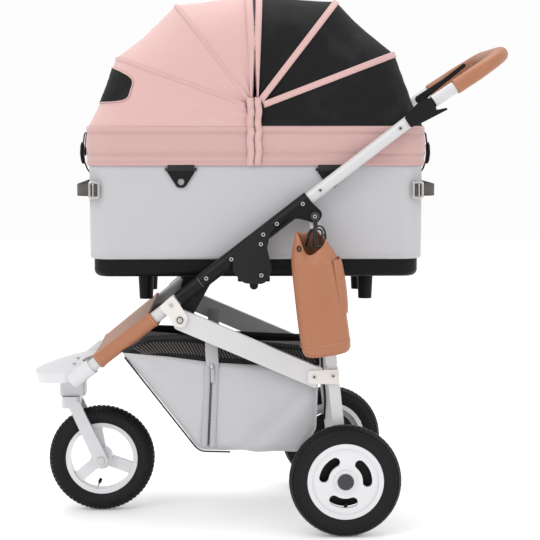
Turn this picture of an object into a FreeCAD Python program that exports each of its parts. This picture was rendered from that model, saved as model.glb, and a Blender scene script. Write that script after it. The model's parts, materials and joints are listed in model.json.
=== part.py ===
import FreeCAD, Part
import math
import os
import re
import Sketcher
from FreeCAD import Placement, Rotation, Vector

# Pet stroller with a lift-off cot: a three-wheeled folding chassis, a soft-sided cot that docks on it,
# a domed hood on six hoops, a basket and a hanging pouch.
# Frame of the part: +Z up, the front wheel towards -X, the handle towards +X, origin on the floor at
# the middle of the length and width. Millimetres. "left" is -Y, "right" is +Y.

doc = FreeCAD.newDocument("pet_stroller")
sheet = doc.addObject("Spreadsheet::Sheet", "sizes")

SIZES = [
    # wheels
    ("track", 524, "rear wheels, centre to centre"),
    ("tyre_radius", 118, "outside radius of all three tyres"),
    ("tyre_width", 45, "width of all three tyres"),
    ("rim_radius", 80, "outside radius of the rims"),
    ("rim_width", 32, "width of the rims"),
    ("rim_lip", 10, "radial depth of the rim's ring"),
    ("web_thick", 9, "thickness of a rim's disc or spokes"),
    ("hub_radius", 24, "radius of a wheel's hub"),
    ("rear_axle_radius", 6, "radius of the rear axle"),
    ("front_axle_radius", 5, "radius of the front axle bolt"),
    ("slot_radius", 46, "centre radius of the slots in a rear rim"),
    ("slot_width", 20, "width of the slots in a rear rim"),
    ("slot_sweep", 52, "angle between the slot's end centres, degrees"),
    ("spoke_width", 25, "width of a front spoke"),
    ("cap_radius", 17, "radius of a rear hub cap"),
    ("cap_thick", 3, "thickness of a rear hub cap"),
    ("front_wheel_x", -378, "front axle, along the length"),
    ("rear_wheel_x", 150.5, "rear axle, along the length"),
    # fits
    ("run_fit", 0.05, "radial clearance of a pin in its bore"),
    ("part_gap", 0.3, "gap between pieces that face each other"),
    # side frames
    ("leg_gap", 5.5, "gap from a rear tyre to the leg beside it"),
    ("leg_thick", 16, "thickness of the rear legs across the width"),
    ("leg_width", 24, "width of the rear legs and struts along the length"),
    ("tube_radius", 13, "outside radius of the main tubes"),
    ("tube_wall", 1.6, "wall of the tubes"),
    ("tube_foot_x", -200, "lower end of the upper tube"),
    ("tube_foot_z", 496, "lower end of the upper tube"),
    ("tube_angle", 37.66, "slope of the upper tube, degrees"),
    ("tube_length", 636, "length of the upper tube"),
    ("sleeve_length", 59, "length of a lock sleeve"),
    ("sleeve_wall", 1.65, "wall of a lock sleeve"),
    ("sleeve_travel", 22, "travel of a lock sleeve"),
    ("bracket_start", 61, "start of the side bracket along the tube"),
    ("bracket_end", 347, "end of the side bracket along the tube"),
    ("bracket_wall", 1.5, "wall of the bracket round the sleeve"),
    ("ear_drop", 35.5, "distance of the strut's bolt below the tube's axis"),
    ("ear_radius", 16, "radius of the bracket's ear"),
    ("plate_thick", 4, "thickness of the joint plates"),
    ("rail_height", 43, "height of the rails"),
    ("rail_width", 22, "width of the rails"),
    ("knee_x", -195, "pin that the front frame folds about"),
    ("knee_z", 455, "pin that the front frame folds about"),
    ("knee_pin_radius", 5, "radius of the fold's pin"),
    ("knuckle_thick", 7, "thickness of the link inside the fold"),
    ("rail_end_x", 86, "rear bolt of the rail"),
    ("rail_end_z", 334, "rear bolt of the rail"),
    ("strut_foot_x", 126, "lower bolt of the strut"),
    ("strut_foot_z", 336, "lower bolt of the strut"),
    ("screw_radius", 4.2, "radius of a screw head"),
    ("screw_head", 2.4, "height of a screw head"),
    ("drum_radius", 58, "radius of the brake drums"),
    ("cable_radius", 2.5, "radius of the brake cables"),
    # front frame
    ("casting_tip_x", -520, "front edge of the foot casting"),
    ("casting_half", 158, "half-width of the foot casting"),
    ("casting_thick", 22, "thickness of the foot casting"),
    ("casting_front_z", 318, "top of the casting at its tip"),
    ("casting_tilt", 11, "slope of the casting, degrees"),
    ("front_tube_y", 160, "front tubes at their lower ends, from the middle"),
    ("front_tube_x", -418, "front tubes at their lower ends"),
    ("front_tube_z", 322, "front tubes at their lower ends"),
    ("socket_wall", 4, "wall of the casting's sockets"),
    ("cover_wall", 2.2, "thickness of the leather cover"),
    ("cover_gap", 0.6, "space between the cover and the tubes"),
    ("head_length", 56, "length of the head block"),
    ("head_width", 64, "width of the head block"),
    ("head_bottom_z", 262, "underside of the head block"),
    ("head_top_z", 294, "top of the head block"),
    ("swivel_x", -443, "axis of the fork's swivel"),
    ("stem_radius", 8, "radius of the fork's stem"),
    ("crown_height", 26, "height of the fork's crown"),
    ("blade_gap", 6.5, "gap from the front tyre to a fork blade"),
    ("blade_thick", 12, "thickness of a fork blade"),
    # handle
    ("pivot_station", 657, "handle pivot along the upper tube's axis"),
    ("pivot_over", 2.6, "handle pivot above the upper tube's axis"),
    ("handle_angle", 33.5, "slope of the handle, degrees"),
    ("handle_reach", 204, "handle's pivot to the middle of its end bar"),
    ("handle_bend", 108, "bend radius of the handle's corners"),
    ("grip_radius", 16, "outside radius of the grip"),
    ("grip_start", 72, "handle's pivot to the end of the grip"),
    ("yoke_length", 58, "length of the fitting at the handle's foot"),
    ("boss_radius", 17, "radius of the handle pivot's bosses"),
    ("handle_tube_start", 19, "handle's pivot to the end of its tube"),
    ("lever_length", 118, "length of the brake lever"),
    ("lever_rise", 19, "brake lever's pivot above the handle's pivot"),
    ("lever_thick", 5, "thickness of the brake lever"),
    # cot
    ("cot_gap", 15, "gap from the cot's side to the upper tubes"),
    ("cot_length", 705, "length of the cot"),
    ("cot_middle_x", -34.5, "middle of the cot along the length"),
    ("cot_floor_z", 578, "underside of the cot's fabric body"),
    ("cot_top_z", 841, "top of the cot's walls"),
    ("cot_corner", 46, "corner radius of the cot seen from above"),
    ("cot_wall", 12, "thickness of the cot's padded walls"),
    ("cot_base", 8, "thickness of the cot's floor"),
    ("pad_thick", 24, "thickness of the floor cushion"),
    ("tray_height", 37, "height of the tray under the cot"),
    ("tray_inset", 8, "tray's edge inside the cot's outline"),
    ("foot_length", 54, "length of the cot's feet"),
    ("foot_radius", 17, "radius of a foot where it meets the tray"),
    ("foot_tip_radius", 14.5, "radius of a foot at its end"),
    ("foot_half_x", 237, "feet from the cot's middle, along the length"),
    ("foot_half_y", 105, "feet from the middle, across the width"),
    ("tongue_length", 40, "length of the tray's docking tongues"),
    ("tongue_thick", 14, "thickness of the tray's docking tongues"),
    ("tongue_drop", 6, "depth of the tray's docking tongues"),
    ("ledge_thick", 8, "thickness of the ledges that the tray docks on"),
    ("dock_x", -40, "docking position along the length"),
    ("dock_bar_radius", 9, "radius of the cross bar under the cot"),
    ("skirt_height", 68, "height of the hood's skirt"),
    ("skirt_thick", 3, "thickness of the skirt"),
    ("ring_half_x", 158, "strap rings from the cot's middle"),
    ("ring_hole", 7, "radius of the hole in a strap ring"),
    ("ring_thick", 4, "thickness of a strap ring"),
    ("ring_gap", 1.2, "gap from a strap ring to the cot's side"),
    ("ring_top_z", 768, "pivot of the strap rings"),
    ("carry_proud", 26, "carry straps standing out from the ends"),
    ("carry_leg", 26, "carry strap's hold on the cot's sides"),
    ("carry_low_z", 712, "lower edge of the carry straps"),
    ("carry_width", 26, "width of the carry straps"),
    ("carry_corner", 31, "outer corner radius of the carry straps"),
    ("strap_thick", 3.2, "thickness of the carry straps"),
    # hood
    ("hood_pivot_x", -38, "pivot of the hoops"),
    ("hood_pivot_z", 896, "pivot of the hoops"),
    ("hoop_radius", 1.8, "radius of a hoop's rod"),
    ("hoop_corner", 120, "corner radius of a hoop"),
    ("hoop_eye", 8, "radius of a hoop's eye"),
    ("hoop_eye_thick", 4, "thickness of a hoop's eye"),
    ("hoop_pin_radius", 2.5, "radius of the hoops' pin"),
    ("hoop_step", 4.5, "spacing of the hoops' eyes on their pin"),
    ("hood_thick", 1.6, "thickness of the hood's fabric"),
    # soft goods
    ("basket_wall", 3, "thickness of the basket's fabric"),
    ("basket_gap", 12, "gap from the basket to the rails"),
    ("pouch_width", 104, "width of the pouch"),
    ("pouch_depth", 92, "depth of the pouch"),
    ("pouch_height", 262, "height of the pouch"),
    ("pouch_tilt", 7.7, "lean of the pouch, degrees"),
    ("pouch_gap", 9, "gap from the pouch to the bracket"),
]
for row, (alias, value, note) in enumerate(SIZES, start=1):
    sheet.set(f"A{row}", note)
    sheet.set(f"B{row}", str(value))
    sheet.setAlias(f"B{row}", alias)
doc.recompute()


class Sizes:
    """Reads a named size out of the sheet."""

    def __getattr__(self, alias):
        return float(getattr(sheet, alias))


size = Sizes()
nodes = []
SIDES = (("left", -1), ("right", 1))
ACROSS = Vector(0, 1, 0)
UP = Vector(0, 0, 1)


# ---------------------------------------------------------------- helpers


def formula(text):
    """A sheet expression, in which every word is one of the sheet's aliases."""
    return re.sub(r"[a-z][a-z_0-9]*", lambda word: "sizes." + word.group(0), text)


def bind(thing, **formulas):
    for name, text in formulas.items():
        thing.setExpression(name, formula(text))
    return thing


def keep(label, thing):
    """Makes thing the sub-part called label."""
    thing.Label = label
    nodes.append(thing)
    return thing


def along(start, end):
    """Where local +Z runs from start towards end."""
    return Placement(start, Rotation(UP, end - start))


def rod(start, end, radius):
    """A round bar between two points; radius is a sheet formula."""
    bar = doc.addObject("Part::Cylinder", "rod")
    bar.Height = (end - start).Length
    bar.Placement = along(start, end)
    return bind(bar, Radius=radius)


def block(corner, **formulas):
    """A box from its low corner; Length, Width and Height are sheet formulas."""
    box = doc.addObject("Part::Box", "block")
    box.Placement = Placement(corner, Rotation())
    return bind(box, **formulas)


def cut(base, *tools):
    for tool in tools:
        result = doc.addObject("Part::Cut", "cut")
        result.Base = base
        result.Tool = tool
        base = result
    return base


def fuse(*pieces):
    result = doc.addObject("Part::MultiFuse", "fuse")
    result.Shapes = list(pieces)
    return result


def group(*pieces):
    """Separate solids that share one node."""
    result = doc.addObject("Part::Compound", "group")
    result.Links = list(pieces)
    return result


def feature(shape):
    """A shape that neither a primitive nor a sketch makes: a swept tube or a loft."""
    thing = doc.addObject("Part::Feature", "shape")
    thing.Shape = shape
    return thing


def rounded(points):
    """Lines and arcs round a closed outline of (a, b, corner radius), in the plane's own axes."""
    corners = [Vector(a, b, 0) for a, b, _ in points]
    pieces, ends = [], []
    for i, (_, _, radius) in enumerate(points):
        here = corners[i]
        back = (corners[i - 1] - here).normalize()
        ahead = (corners[(i + 1) % len(corners)] - here).normalize()
        if radius <= 0:
            ends.append((here, here))
            continue
        half = back.getAngle(ahead) / 2
        tangent = radius / math.tan(half)
        first, last = here + back * tangent, here + ahead * tangent
        middle = (back + ahead).normalize()
        centre = here + middle * (radius / math.sin(half))
        pieces.append(Part.Arc(first, centre - middle * radius, last))
        ends.append((first, last))
    for i, (_, leave) in enumerate(ends):
        arrive = ends[(i + 1) % len(ends)][0]
        if (arrive - leave).Length > 1e-4:
            pieces.append(Part.LineSegment(leave, arrive))
    return pieces


def rectangle(low_a, high_a, low_b, high_b, radius):
    return rounded([(low_a, low_b, radius), (high_a, low_b, radius),
                    (high_a, high_b, radius), (low_a, high_b, radius)])


def sketch_on(body, plane, geometry, height=0.0, circles=()):
    """A sketch on one of the body's origin planes; circles are (a, b, radius formula)."""
    sketch = body.newObject("Sketcher::SketchObject", body.Label + "_sketch")
    origin_plane = next(f for f in body.Origin.OriginFeatures if f.Role == plane)
    sketch.AttachmentSupport = [(origin_plane, "")]
    sketch.MapMode = "FlatFace"
    sketch.AttachmentOffset = Placement(Vector(0, 0, height), Rotation())
    sketch.addGeometry(geometry, False)
    for a, b, radius in circles:
        circle = sketch.addGeometry(Part.Circle(Vector(a, b, 0), UP, 1.0), False)
        rule = sketch.addConstraint(Sketcher.Constraint("Radius", circle, 1.0))
        sketch.setExpression(f"Constraints[{rule}]", formula(radius))
    return sketch


def plate(label, geometry, high_y, thickness, circles=()):
    """A flat piece in the XZ plane, its face towards +Y at high_y, with round holes."""
    body = doc.addObject("PartDesign::Body", label)
    body.Placement = Placement(Vector(0, high_y, 0), Rotation())
    sketch = sketch_on(body, "XZ_Plane", geometry, circles=circles)
    pad = body.newObject("PartDesign::Pad", "pad")
    pad.Profile = sketch
    bind(pad, Length=thickness)
    return body


def slab(label, geometry, low_z, height, circles=()):
    """A flat piece seen from above, its underside at low_z."""
    body = doc.addObject("PartDesign::Body", label)
    body.Placement = Placement(Vector(0, 0, low_z), Rotation())
    sketch = sketch_on(body, "XY_Plane", geometry, circles=circles)
    pad = body.newObject("PartDesign::Pad", "pad")
    pad.Profile = sketch
    bind(pad, Length=height)
    return body


def hollow(body, geometry, plane, height, depth):
    """Sinks a pocket of depth (a sheet formula) from a plane at height, and checks that it cut."""
    doc.recompute()
    before = body.Shape.Volume
    pocket = body.newObject("PartDesign::Pocket", "pocket")
    pocket.Profile = sketch_on(body, plane, geometry, height)
    bind(pocket, Length=depth)
    doc.recompute()
    if body.Shape.Volume >= before - 1.0:
        raise RuntimeError(body.Label + ": the pocket cuts nothing")
    return body


def fillet_edges(body, radius, wanted):
    """Rounds the edges of a body that wanted(edge) picks."""
    doc.recompute()
    base = body.Tip
    names = [f"Edge{i + 1}" for i, edge in enumerate(body.Shape.Edges) if wanted(edge)]
    fillet = body.newObject("PartDesign::Fillet", "fillet")
    fillet.Base = (base, names)
    fillet.Radius = radius
    return body


def bent_path(points, radii):
    """A wire of straight runs joined by tangent arcs."""
    edges, start = [], points[0]
    for i in range(1, len(points) - 1):
        here = points[i]
        back = (points[i - 1] - here).normalize()
        ahead = (points[i + 1] - here).normalize()
        half = back.getAngle(ahead) / 2
        tangent = radii[i - 1] / math.tan(half)
        first, last = here + back * tangent, here + ahead * tangent
        middle = (back + ahead).normalize()
        centre = here + middle * (radii[i - 1] / math.sin(half))
        if (first - start).Length > 1e-4:
            edges.append(Part.LineSegment(start, first).toShape())
        edges.append(Part.Arc(first, centre - middle * radii[i - 1], last).toShape())
        start = last
    edges.append(Part.LineSegment(start, points[-1]).toShape())
    return Part.Wire(edges)


def swept(wire, outer, inner=0.0):
    """A round rod or tube along a wire."""
    start = wire.Edges[0].valueAt(wire.Edges[0].FirstParameter)
    heading = wire.Edges[0].tangentAt(wire.Edges[0].FirstParameter)
    ring = Part.Wire(Part.Circle(start, heading, outer).toShape())
    shape = wire.makePipeShell([ring], True, False)
    if inner:
        bore = Part.Wire(Part.Circle(start, heading, inner).toShape())
        shape = shape.cut(wire.makePipeShell([bore], True, False))
    return shape


# ---------------------------------------------------------------- places worked out from the sizes

side_y = size.track / 2 - size.tyre_width / 2 - size.leg_gap - size.leg_thick / 2
slope = math.radians(size.tube_angle)
tube_along = Vector(math.cos(slope), 0, math.sin(slope))
tube_over = Vector(-math.sin(slope), 0, math.cos(slope))
tube_foot = Vector(size.tube_foot_x, 0, size.tube_foot_z)
knee = Vector(size.knee_x, 0, size.knee_z)
rail_end = Vector(size.rail_end_x, 0, size.rail_end_z)
strut_foot = Vector(size.strut_foot_x, 0, size.strut_foot_z)
rear_axle_at = Vector(size.rear_wheel_x, 0, size.tyre_radius)
front_axle_at = Vector(size.front_wheel_x, 0, size.tyre_radius)
sleeve_radius = size.tube_radius + size.run_fit + size.sleeve_wall
bracket_radius = sleeve_radius + size.run_fit + size.bracket_wall
plate_inner = side_y + size.tube_radius + size.part_gap
cot_half = side_y - size.tube_radius - size.cot_gap
cot_front = size.cot_middle_x - size.cot_length / 2
cot_rear = size.cot_middle_x + size.cot_length / 2


def at_side(point, y):
    return Vector(point.x, y, point.z)


def station(distance, over=0.0, y=0.0):
    """A point on the upper tube's line: distance along it, over above its axis, at width y."""
    return at_side(tube_foot + tube_along * distance + tube_over * over, y)


ear = station(size.bracket_end - size.ear_radius + 3, -size.ear_drop)
handle_pivot = station(size.pivot_station, size.pivot_over)
bolt_knee = station(-3 - size.tube_radius, 0)


def flat(point):
    """A point's place in a sketch on the XZ plane."""
    return point.x, point.z


# ---------------------------------------------------------------- wheels


def tyre(label, centre):
    ring = bind(doc.addObject("Part::Torus", "ring"), Radius1="tyre_radius - tyre_width / 2",
                Radius2="tyre_width / 2")
    ring.Placement = Placement(centre, Rotation(Vector(1, 0, 0), -90))
    span = ACROSS * size.tyre_width
    seat = rod(centre - span, centre + span, "rim_radius + run_fit")
    keep(label, cut(ring, seat))


def wheel_disc(centre, web, bore):
    """Rim ring, web and hub, bored for the axle."""
    half = ACROSS * (size.rim_width / 2)
    ring = cut(rod(centre - half, centre + half, "rim_radius"),
               rod(centre - half * 2, centre + half * 2, "rim_radius - rim_lip"))
    hub = rod(centre - half, centre + half, "hub_radius")
    return cut(fuse(ring, web, hub), rod(centre - half * 2, centre + half * 2, bore))


def kidney(centre, middle_angle):
    """A curved slot's cutter: a sector of a ring with round ends."""
    first = middle_angle - size.slot_sweep / 2
    start = centre - ACROSS * size.rim_width
    turn = Rotation(Vector(1, 0, 0), -90).multiply(Rotation(UP, first))
    sectors = []
    for radius in ("slot_radius + slot_width / 2", "slot_radius - slot_width / 2"):
        sector = bind(doc.addObject("Part::Cylinder", "sector"), Radius=radius,
                      Height="rim_width * 2", Angle="slot_sweep")
        sector.Placement = Placement(start, turn)
        sectors.append(sector)
    ends = []
    for angle in (first, first + size.slot_sweep):
        spoke = Vector(math.cos(math.radians(angle)), 0, -math.sin(math.radians(angle)))
        foot = start + spoke * size.slot_radius
        ends.append(rod(foot, foot + ACROSS * (size.rim_width * 2), "slot_width / 2"))
    return fuse(cut(sectors[0], sectors[1]), *ends)


def rear_wheels():
    for side, sign in SIDES:
        centre = at_side(rear_axle_at, sign * size.track / 2)
        tyre("rear_tyre_" + side, centre)
        web_middle = centre + ACROSS * (sign * (size.rim_width / 2 - size.web_thick / 2 - 3))
        half_web = ACROSS * (size.web_thick / 2)
        web = rod(web_middle - half_web, web_middle + half_web, "rim_radius - rim_lip / 2")
        disc = wheel_disc(centre, web, "rear_axle_radius + run_fit")
        slots = [kidney(centre, angle) for angle in (-144, -24, 96)]
        keep("rear_rim_" + side, cut(disc, *slots))
        face = centre + ACROSS * (sign * size.rim_width / 2)
        cap = rod(face, face + ACROSS * (sign * size.cap_thick), "cap_radius")
        keep("hub_cap_" + side, cap)


def front_wheel():
    tyre("front_tyre", front_axle_at)
    spokes = []
    for angle in (100, 220, 340):
        spoke = bind(doc.addObject("Part::Box", "spoke"), Length="rim_radius - rim_lip / 2",
                     Width="web_thick * 2", Height="spoke_width")
        turn = Rotation(ACROSS, -angle)
        corner = front_axle_at + turn.multVec(Vector(0, -size.web_thick, -size.spoke_width / 2))
        spoke.Placement = Placement(corner, turn)
        spokes.append(spoke)
    keep("front_rim", wheel_disc(front_axle_at, fuse(*spokes), "front_axle_radius + run_fit"))


# ---------------------------------------------------------------- fork and head


def fork():
    inner = size.tyre_width / 2 + size.blade_gap
    crown_top = size.head_bottom_z - 1
    crown_low = crown_top - size.crown_height
    width = 2 * (inner + size.blade_thick)
    crown_shape = rectangle(size.swivel_x - 21, size.swivel_x + 19, -width / 2, width / 2, 9)
    crown = slab("fork_crown", crown_shape, crown_low, "crown_height")
    pieces = [crown]
    stem_foot = Vector(size.swivel_x, 0, crown_top - 2)
    pieces.append(rod(stem_foot, Vector(size.swivel_x, 0, size.head_top_z - 3), "stem_radius"))
    top = Vector(size.swivel_x + 5, 0, crown_low + 12)
    lean = (front_axle_at - top).normalize()
    flank = Vector(-lean.z, 0, lean.x)
    outline = [top + flank * 13, top - flank * 13,
               front_axle_at - flank * 15 + lean * 14, front_axle_at + flank * 15 + lean * 14]
    radii = (4, 4, 14, 14)
    for sign in (-1, 1):
        high = inner + size.blade_thick if sign > 0 else -inner
        shape = rounded([(*flat(p), r) for p, r in zip(outline, radii)])
        blade = plate("fork_blade", shape, high, "blade_thick",
                      circles=[(*flat(front_axle_at), "front_axle_radius + run_fit")])
        pieces.append(blade)
    keep("fork", fuse(*pieces))
    reach = inner + size.blade_thick
    bolt = rod(at_side(front_axle_at, -reach), at_side(front_axle_at, reach), "front_axle_radius")
    heads = [rod(at_side(front_axle_at, s * reach), at_side(front_axle_at, s * (reach + 4)),
                 "front_axle_radius + 3") for s in (-1, 1)]
    keep("front_axle", fuse(bolt, *heads))


def head():
    low_x = size.swivel_x - size.head_length * 0.46
    shape = rectangle(low_x, low_x + size.head_length, -size.head_width / 2, size.head_width / 2, 8)
    circles = [(size.swivel_x, 0, "stem_radius + run_fit")]
    keep("head_block", slab("head", shape, size.head_bottom_z, "head_top_z - head_bottom_z", circles))


# ---------------------------------------------------------------- front frame


def front_tube_line(sign):
    low = Vector(size.front_tube_x, sign * size.front_tube_y, size.front_tube_z)
    clear_of_upper_tube = 1 + size.tube_radius / 5
    return low, station(-clear_of_upper_tube, 0, sign * side_y)


def casting():
    """The foot step at the nose: a tilted crescent with a socket for each front tube."""
    half = size.casting_half
    tip = size.casting_tip_x
    back = size.front_tube_x + 26
    arc = Part.Arc(Vector(tip + 78, -half, 0), Vector(tip, 0, 0), Vector(tip + 78, half, 0))
    geometry = [arc,
                Part.LineSegment(Vector(tip + 78, half, 0), Vector(back, half, 0)),
                Part.LineSegment(Vector(back, half, 0), Vector(back, 60, 0)),
                Part.Arc(Vector(back, 60, 0), Vector(back - 22, 0, 0), Vector(back, -60, 0)),
                Part.LineSegment(Vector(back, -60, 0), Vector(back, -half, 0)),
                Part.LineSegment(Vector(back, -half, 0), Vector(tip + 78, -half, 0))]
    step = slab("step", geometry, 0, "casting_thick")
    turn = Rotation(ACROSS, -size.casting_tilt)
    pivot = Vector(tip, 0, size.casting_front_z - size.casting_thick)
    step.Placement = Placement(pivot - turn.multVec(Vector(tip, 0, 0)), turn)
    pieces, bores = [step], []
    for _, sign in SIDES:
        low, high = front_tube_line(sign)
        heading = (high - low).normalize()
        pieces.append(rod(low - heading * 12, low + heading * 44, "tube_radius + socket_wall"))
        bores.append(rod(low, low + heading * 60, "tube_radius"))
    post = rod(Vector(size.swivel_x, 0, size.head_top_z), Vector(size.swivel_x, 0, 318), "head_width / 3")
    keep("front_casting", cut(fuse(post, *pieces), *bores))


def front_tubes():
    for side, sign in SIDES:
        low, high = front_tube_line(sign)
        keep("front_tube_" + side, cut(rod(low, high, "tube_radius"),
                                       rod(low - (high - low), high + (high - low),
                                           "tube_radius - tube_wall")))


def stadium(middle, heading, half, radius):
    """A flat-sided ring round two parallel tubes, at right angles to heading."""
    over = heading.cross(ACROSS).normalize() * -1
    top, bottom = middle + over * radius, middle - over * radius
    span = ACROSS * half
    outer = ACROSS * (half + radius)
    return Part.Wire([
        Part.LineSegment(top - span, top + span).toShape(),
        Part.Arc(top + span, middle + outer, bottom + span).toShape(),
        Part.LineSegment(bottom + span, bottom - span).toShape(),
        Part.Arc(bottom - span, middle - outer, top - span).toShape(),
    ])


def front_cover():
    """A leather muff round both front tubes."""
    low, high = front_tube_line(1)
    axis = Vector(high.x - low.x, 0, high.z - low.z).normalize()
    start, end = low + (high - low) * 0.215, low + (high - low) * 0.775

    def ring(point, grow, radius):
        middle = Vector(point.x, 0, point.z) + axis * grow
        half = point.y + (high.y - low.y) / (high - low).Length * grow
        return stadium(middle, axis, half, radius)

    inner = size.tube_radius + size.cover_gap
    outer = inner + size.cover_wall
    shell = Part.makeLoft([ring(start, 0, outer), ring(end, 0, outer)], True, True)
    space = Part.makeLoft([ring(start, -20, inner), ring(end, 20, inner)], True, True)
    keep("front_cover", feature(shell.cut(space)))


def knee_outline():
    """The white plate that ties a front tube to the fold's pin."""
    corner = station(-1, 15)
    return rounded([(*flat(station(-39, 13)), 6), (*flat(corner), 4),
                    (*flat(station(-1, -6)), 4), (knee.x + 17, knee.z + 6, 9),
                    (knee.x + 9, knee.z - 17, 11), (knee.x - 12, knee.z - 13, 8),
                    (*flat(station(-36, -16)), 5)])


def front_plates():
    plates = []
    for _, sign in SIDES:
        high = plate_inner + size.plate_thick if sign > 0 else -plate_inner
        circles = [(*flat(knee), "knee_pin_radius + run_fit")]
        plates.append(plate("knee_plate", knee_outline(), high, "plate_thick", circles))
    keep("front_plates", group(*plates))


def screw_row(places, outward):
    """Screw heads on a face at width outward; the sign of outward is the side."""
    sign = 1 if outward > 0 else -1
    heads = []
    for place in places:
        foot = at_side(place, outward)
        heads.append(rod(foot, foot + ACROSS * (sign * size.screw_head), "screw_radius"))
    return heads


def front_screws():
    heads = []
    for _, sign in SIDES:
        face = sign * (plate_inner + size.plate_thick)
        heads += screw_row([bolt_knee], face)
    x = size.swivel_x + 8
    rise = (x - size.casting_tip_x) * math.tan(math.radians(size.casting_tilt))
    for y in (-46, 46):
        foot = Vector(x, y, size.casting_front_z + rise + 1.2)
        heads.append(rod(foot, foot + UP * size.screw_head, "screw_radius"))
    keep("front_screws", group(*heads))


# ---------------------------------------------------------------- side frames


def upper_tubes():
    for side, sign in SIDES:
        y = sign * side_y
        outer = rod(station(0, 0, y), station(size.tube_length, 0, y), "tube_radius")
        inner = rod(station(-5, 0, y), station(size.tube_length + 5, 0, y), "tube_radius - tube_wall")
        keep("upper_tube_" + side, cut(outer, inner))


def lock_sleeves():
    for side, sign in SIDES:
        y = sign * side_y
        start, end = station(1, 0, y), station(1 + size.sleeve_length, 0, y)
        body = rod(start, end, "tube_radius + run_fit + sleeve_wall")
        ribs = [rod(station(s, 0, y), station(s + 4, 0, y), "tube_radius + run_fit + sleeve_wall + 0.9")
                for s in (6, 14)]
        tab = block(Vector(0, 0, 0), Length="9", Width="8", Height="10")
        turn = Rotation(ACROSS, -size.tube_angle)
        tab.Placement = Placement(station(26, -sleeve_radius - 6, y - 4), turn)
        bore = rod(station(-9, 0, y), station(90, 0, y), "tube_radius + run_fit")
        keep("lock_sleeve_" + side, cut(fuse(body, tab, *ribs), bore))


def side_brackets():
    """A round shell clamped on the upper tube, with an ear that carries the strut."""
    for side, sign in SIDES:
        y = sign * side_y
        shell = rod(station(size.bracket_start, 0, y), station(size.bracket_end, 0, y),
                    "tube_radius + run_fit * 2 + sleeve_wall + bracket_wall")
        outline = rounded([(*flat(station(size.bracket_end - 62, -6)), 0),
                           (*flat(station(size.bracket_end - 1, -2)), 0),
                           (*flat(ear + tube_along * 18 - tube_over * 6), 13),
                           (*flat(ear - tube_along * 4 - tube_over * 17), 13),
                           (*flat(station(size.bracket_end - 42, -20)), 6)])
        outer_face = bracket_radius + side_y
        high = outer_face if sign > 0 else -outer_face + size.plate_thick
        wing = plate("bracket_ear", outline, high, "plate_thick")
        collar = rod(station(size.bracket_start - 5, 0, y),
                     station(size.bracket_start + size.sleeve_travel + 3, 0, y),
                     "tube_radius + run_fit * 2 + sleeve_wall")
        bore = rod(station(0, 0, y), station(size.bracket_end + 9, 0, y), "tube_radius")
        keep("side_bracket_" + side, cut(fuse(shell, wing), collar, bore))


def bell_outline():
    """The docking plate: a bell that hangs from the bracket to below the tray."""
    x = size.dock_x
    return rounded([(x - 44, 600, 8), (x - 45, 556, 26), (x - 22, 532, 20), (x + 24, 530, 20),
                    (x + 38, 560, 30), (x + 27, 606, 22), (x + 33, 634, 8), (x + 44, 648, 3),
                    (x + 30, 659, 3)])


def dock():
    """Bell plates outside the brackets, and a cross bar with a socket block each side."""
    bells = []
    for _, sign in SIDES:
        face = side_y + bracket_radius + size.part_gap
        high = face + 3 if sign > 0 else -face
        bells.append(plate("bell", bell_outline(), high, "3"))
    keep("dock_plates", group(*bells))
    inner = cot_half - size.tray_inset - size.tongue_thick - 6
    top = size.cot_floor_z - size.tray_height - size.part_gap
    pieces = []
    for _, sign in SIDES:
        outer = side_y - size.tube_radius - 0.5
        low_y = inner if sign > 0 else -outer
        shape = rectangle(size.dock_x - 34, size.dock_x + 34, low_y, low_y + outer - inner, 6)
        ledge = slab("ledge", shape, top - size.ledge_thick, "ledge_thick")
        clear = size.part_gap
        tongue_y = inner + 6 - clear if sign > 0 else -(inner + 6 + size.tongue_thick + clear)
        hole = block(Vector(size.dock_x - size.tongue_length / 2 - clear, tongue_y,
                            top - size.ledge_thick - 1),
                     Length="tongue_length + 2 * part_gap", Width="tongue_thick + 2 * part_gap",
                     Height="ledge_thick + 2")
        pieces.append(cut(ledge, hole))
    bar_z = top - size.ledge_thick - size.dock_bar_radius + 1
    reach = side_y - size.tube_radius - 1
    bar = rod(Vector(size.dock_x, -reach, bar_z), Vector(size.dock_x, reach, bar_z), "dock_bar_radius")
    keep("dock_crossbar", fuse(bar, *pieces))


def knuckles():
    """A black link on the inner side, from the bracket down to the fold's pin."""
    links = []
    for _, sign in SIDES:
        inner = side_y - bracket_radius - size.part_gap - size.knuckle_thick
        high = inner + size.knuckle_thick if sign > 0 else -inner
        shape = rounded([(*flat(station(size.bracket_start + 26, 10)), 9),
                         (*flat(station(8, 8)), 12), (knee.x - 17, knee.z + 4, 12),
                         (knee.x - 6, knee.z - 17, 12), (knee.x + 16, knee.z - 12, 12),
                         (*flat(station(size.bracket_start + 26, -11)), 9)])
        link = plate("link", shape, high, "knuckle_thick")
        start = sign * (inner + size.knuckle_thick / 2)
        end = sign * (side_y - size.rail_width / 2 - 0.1)
        boss = rod(at_side(knee, start), at_side(knee, end), "knee_pin_radius * 2")
        pin = rod(at_side(knee, start), at_side(knee, sign * (plate_inner + size.plate_thick + 0.5)),
                  "knee_pin_radius")
        head_start = sign * (plate_inner + size.plate_thick + 0.5)
        head_end = head_start + sign * 3
        head_piece = rod(at_side(knee, head_start), at_side(knee, head_end), "knee_pin_radius + 2")
        links.append(fuse(link, boss, pin, head_piece))
    keep("knuckles", group(*links))


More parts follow.
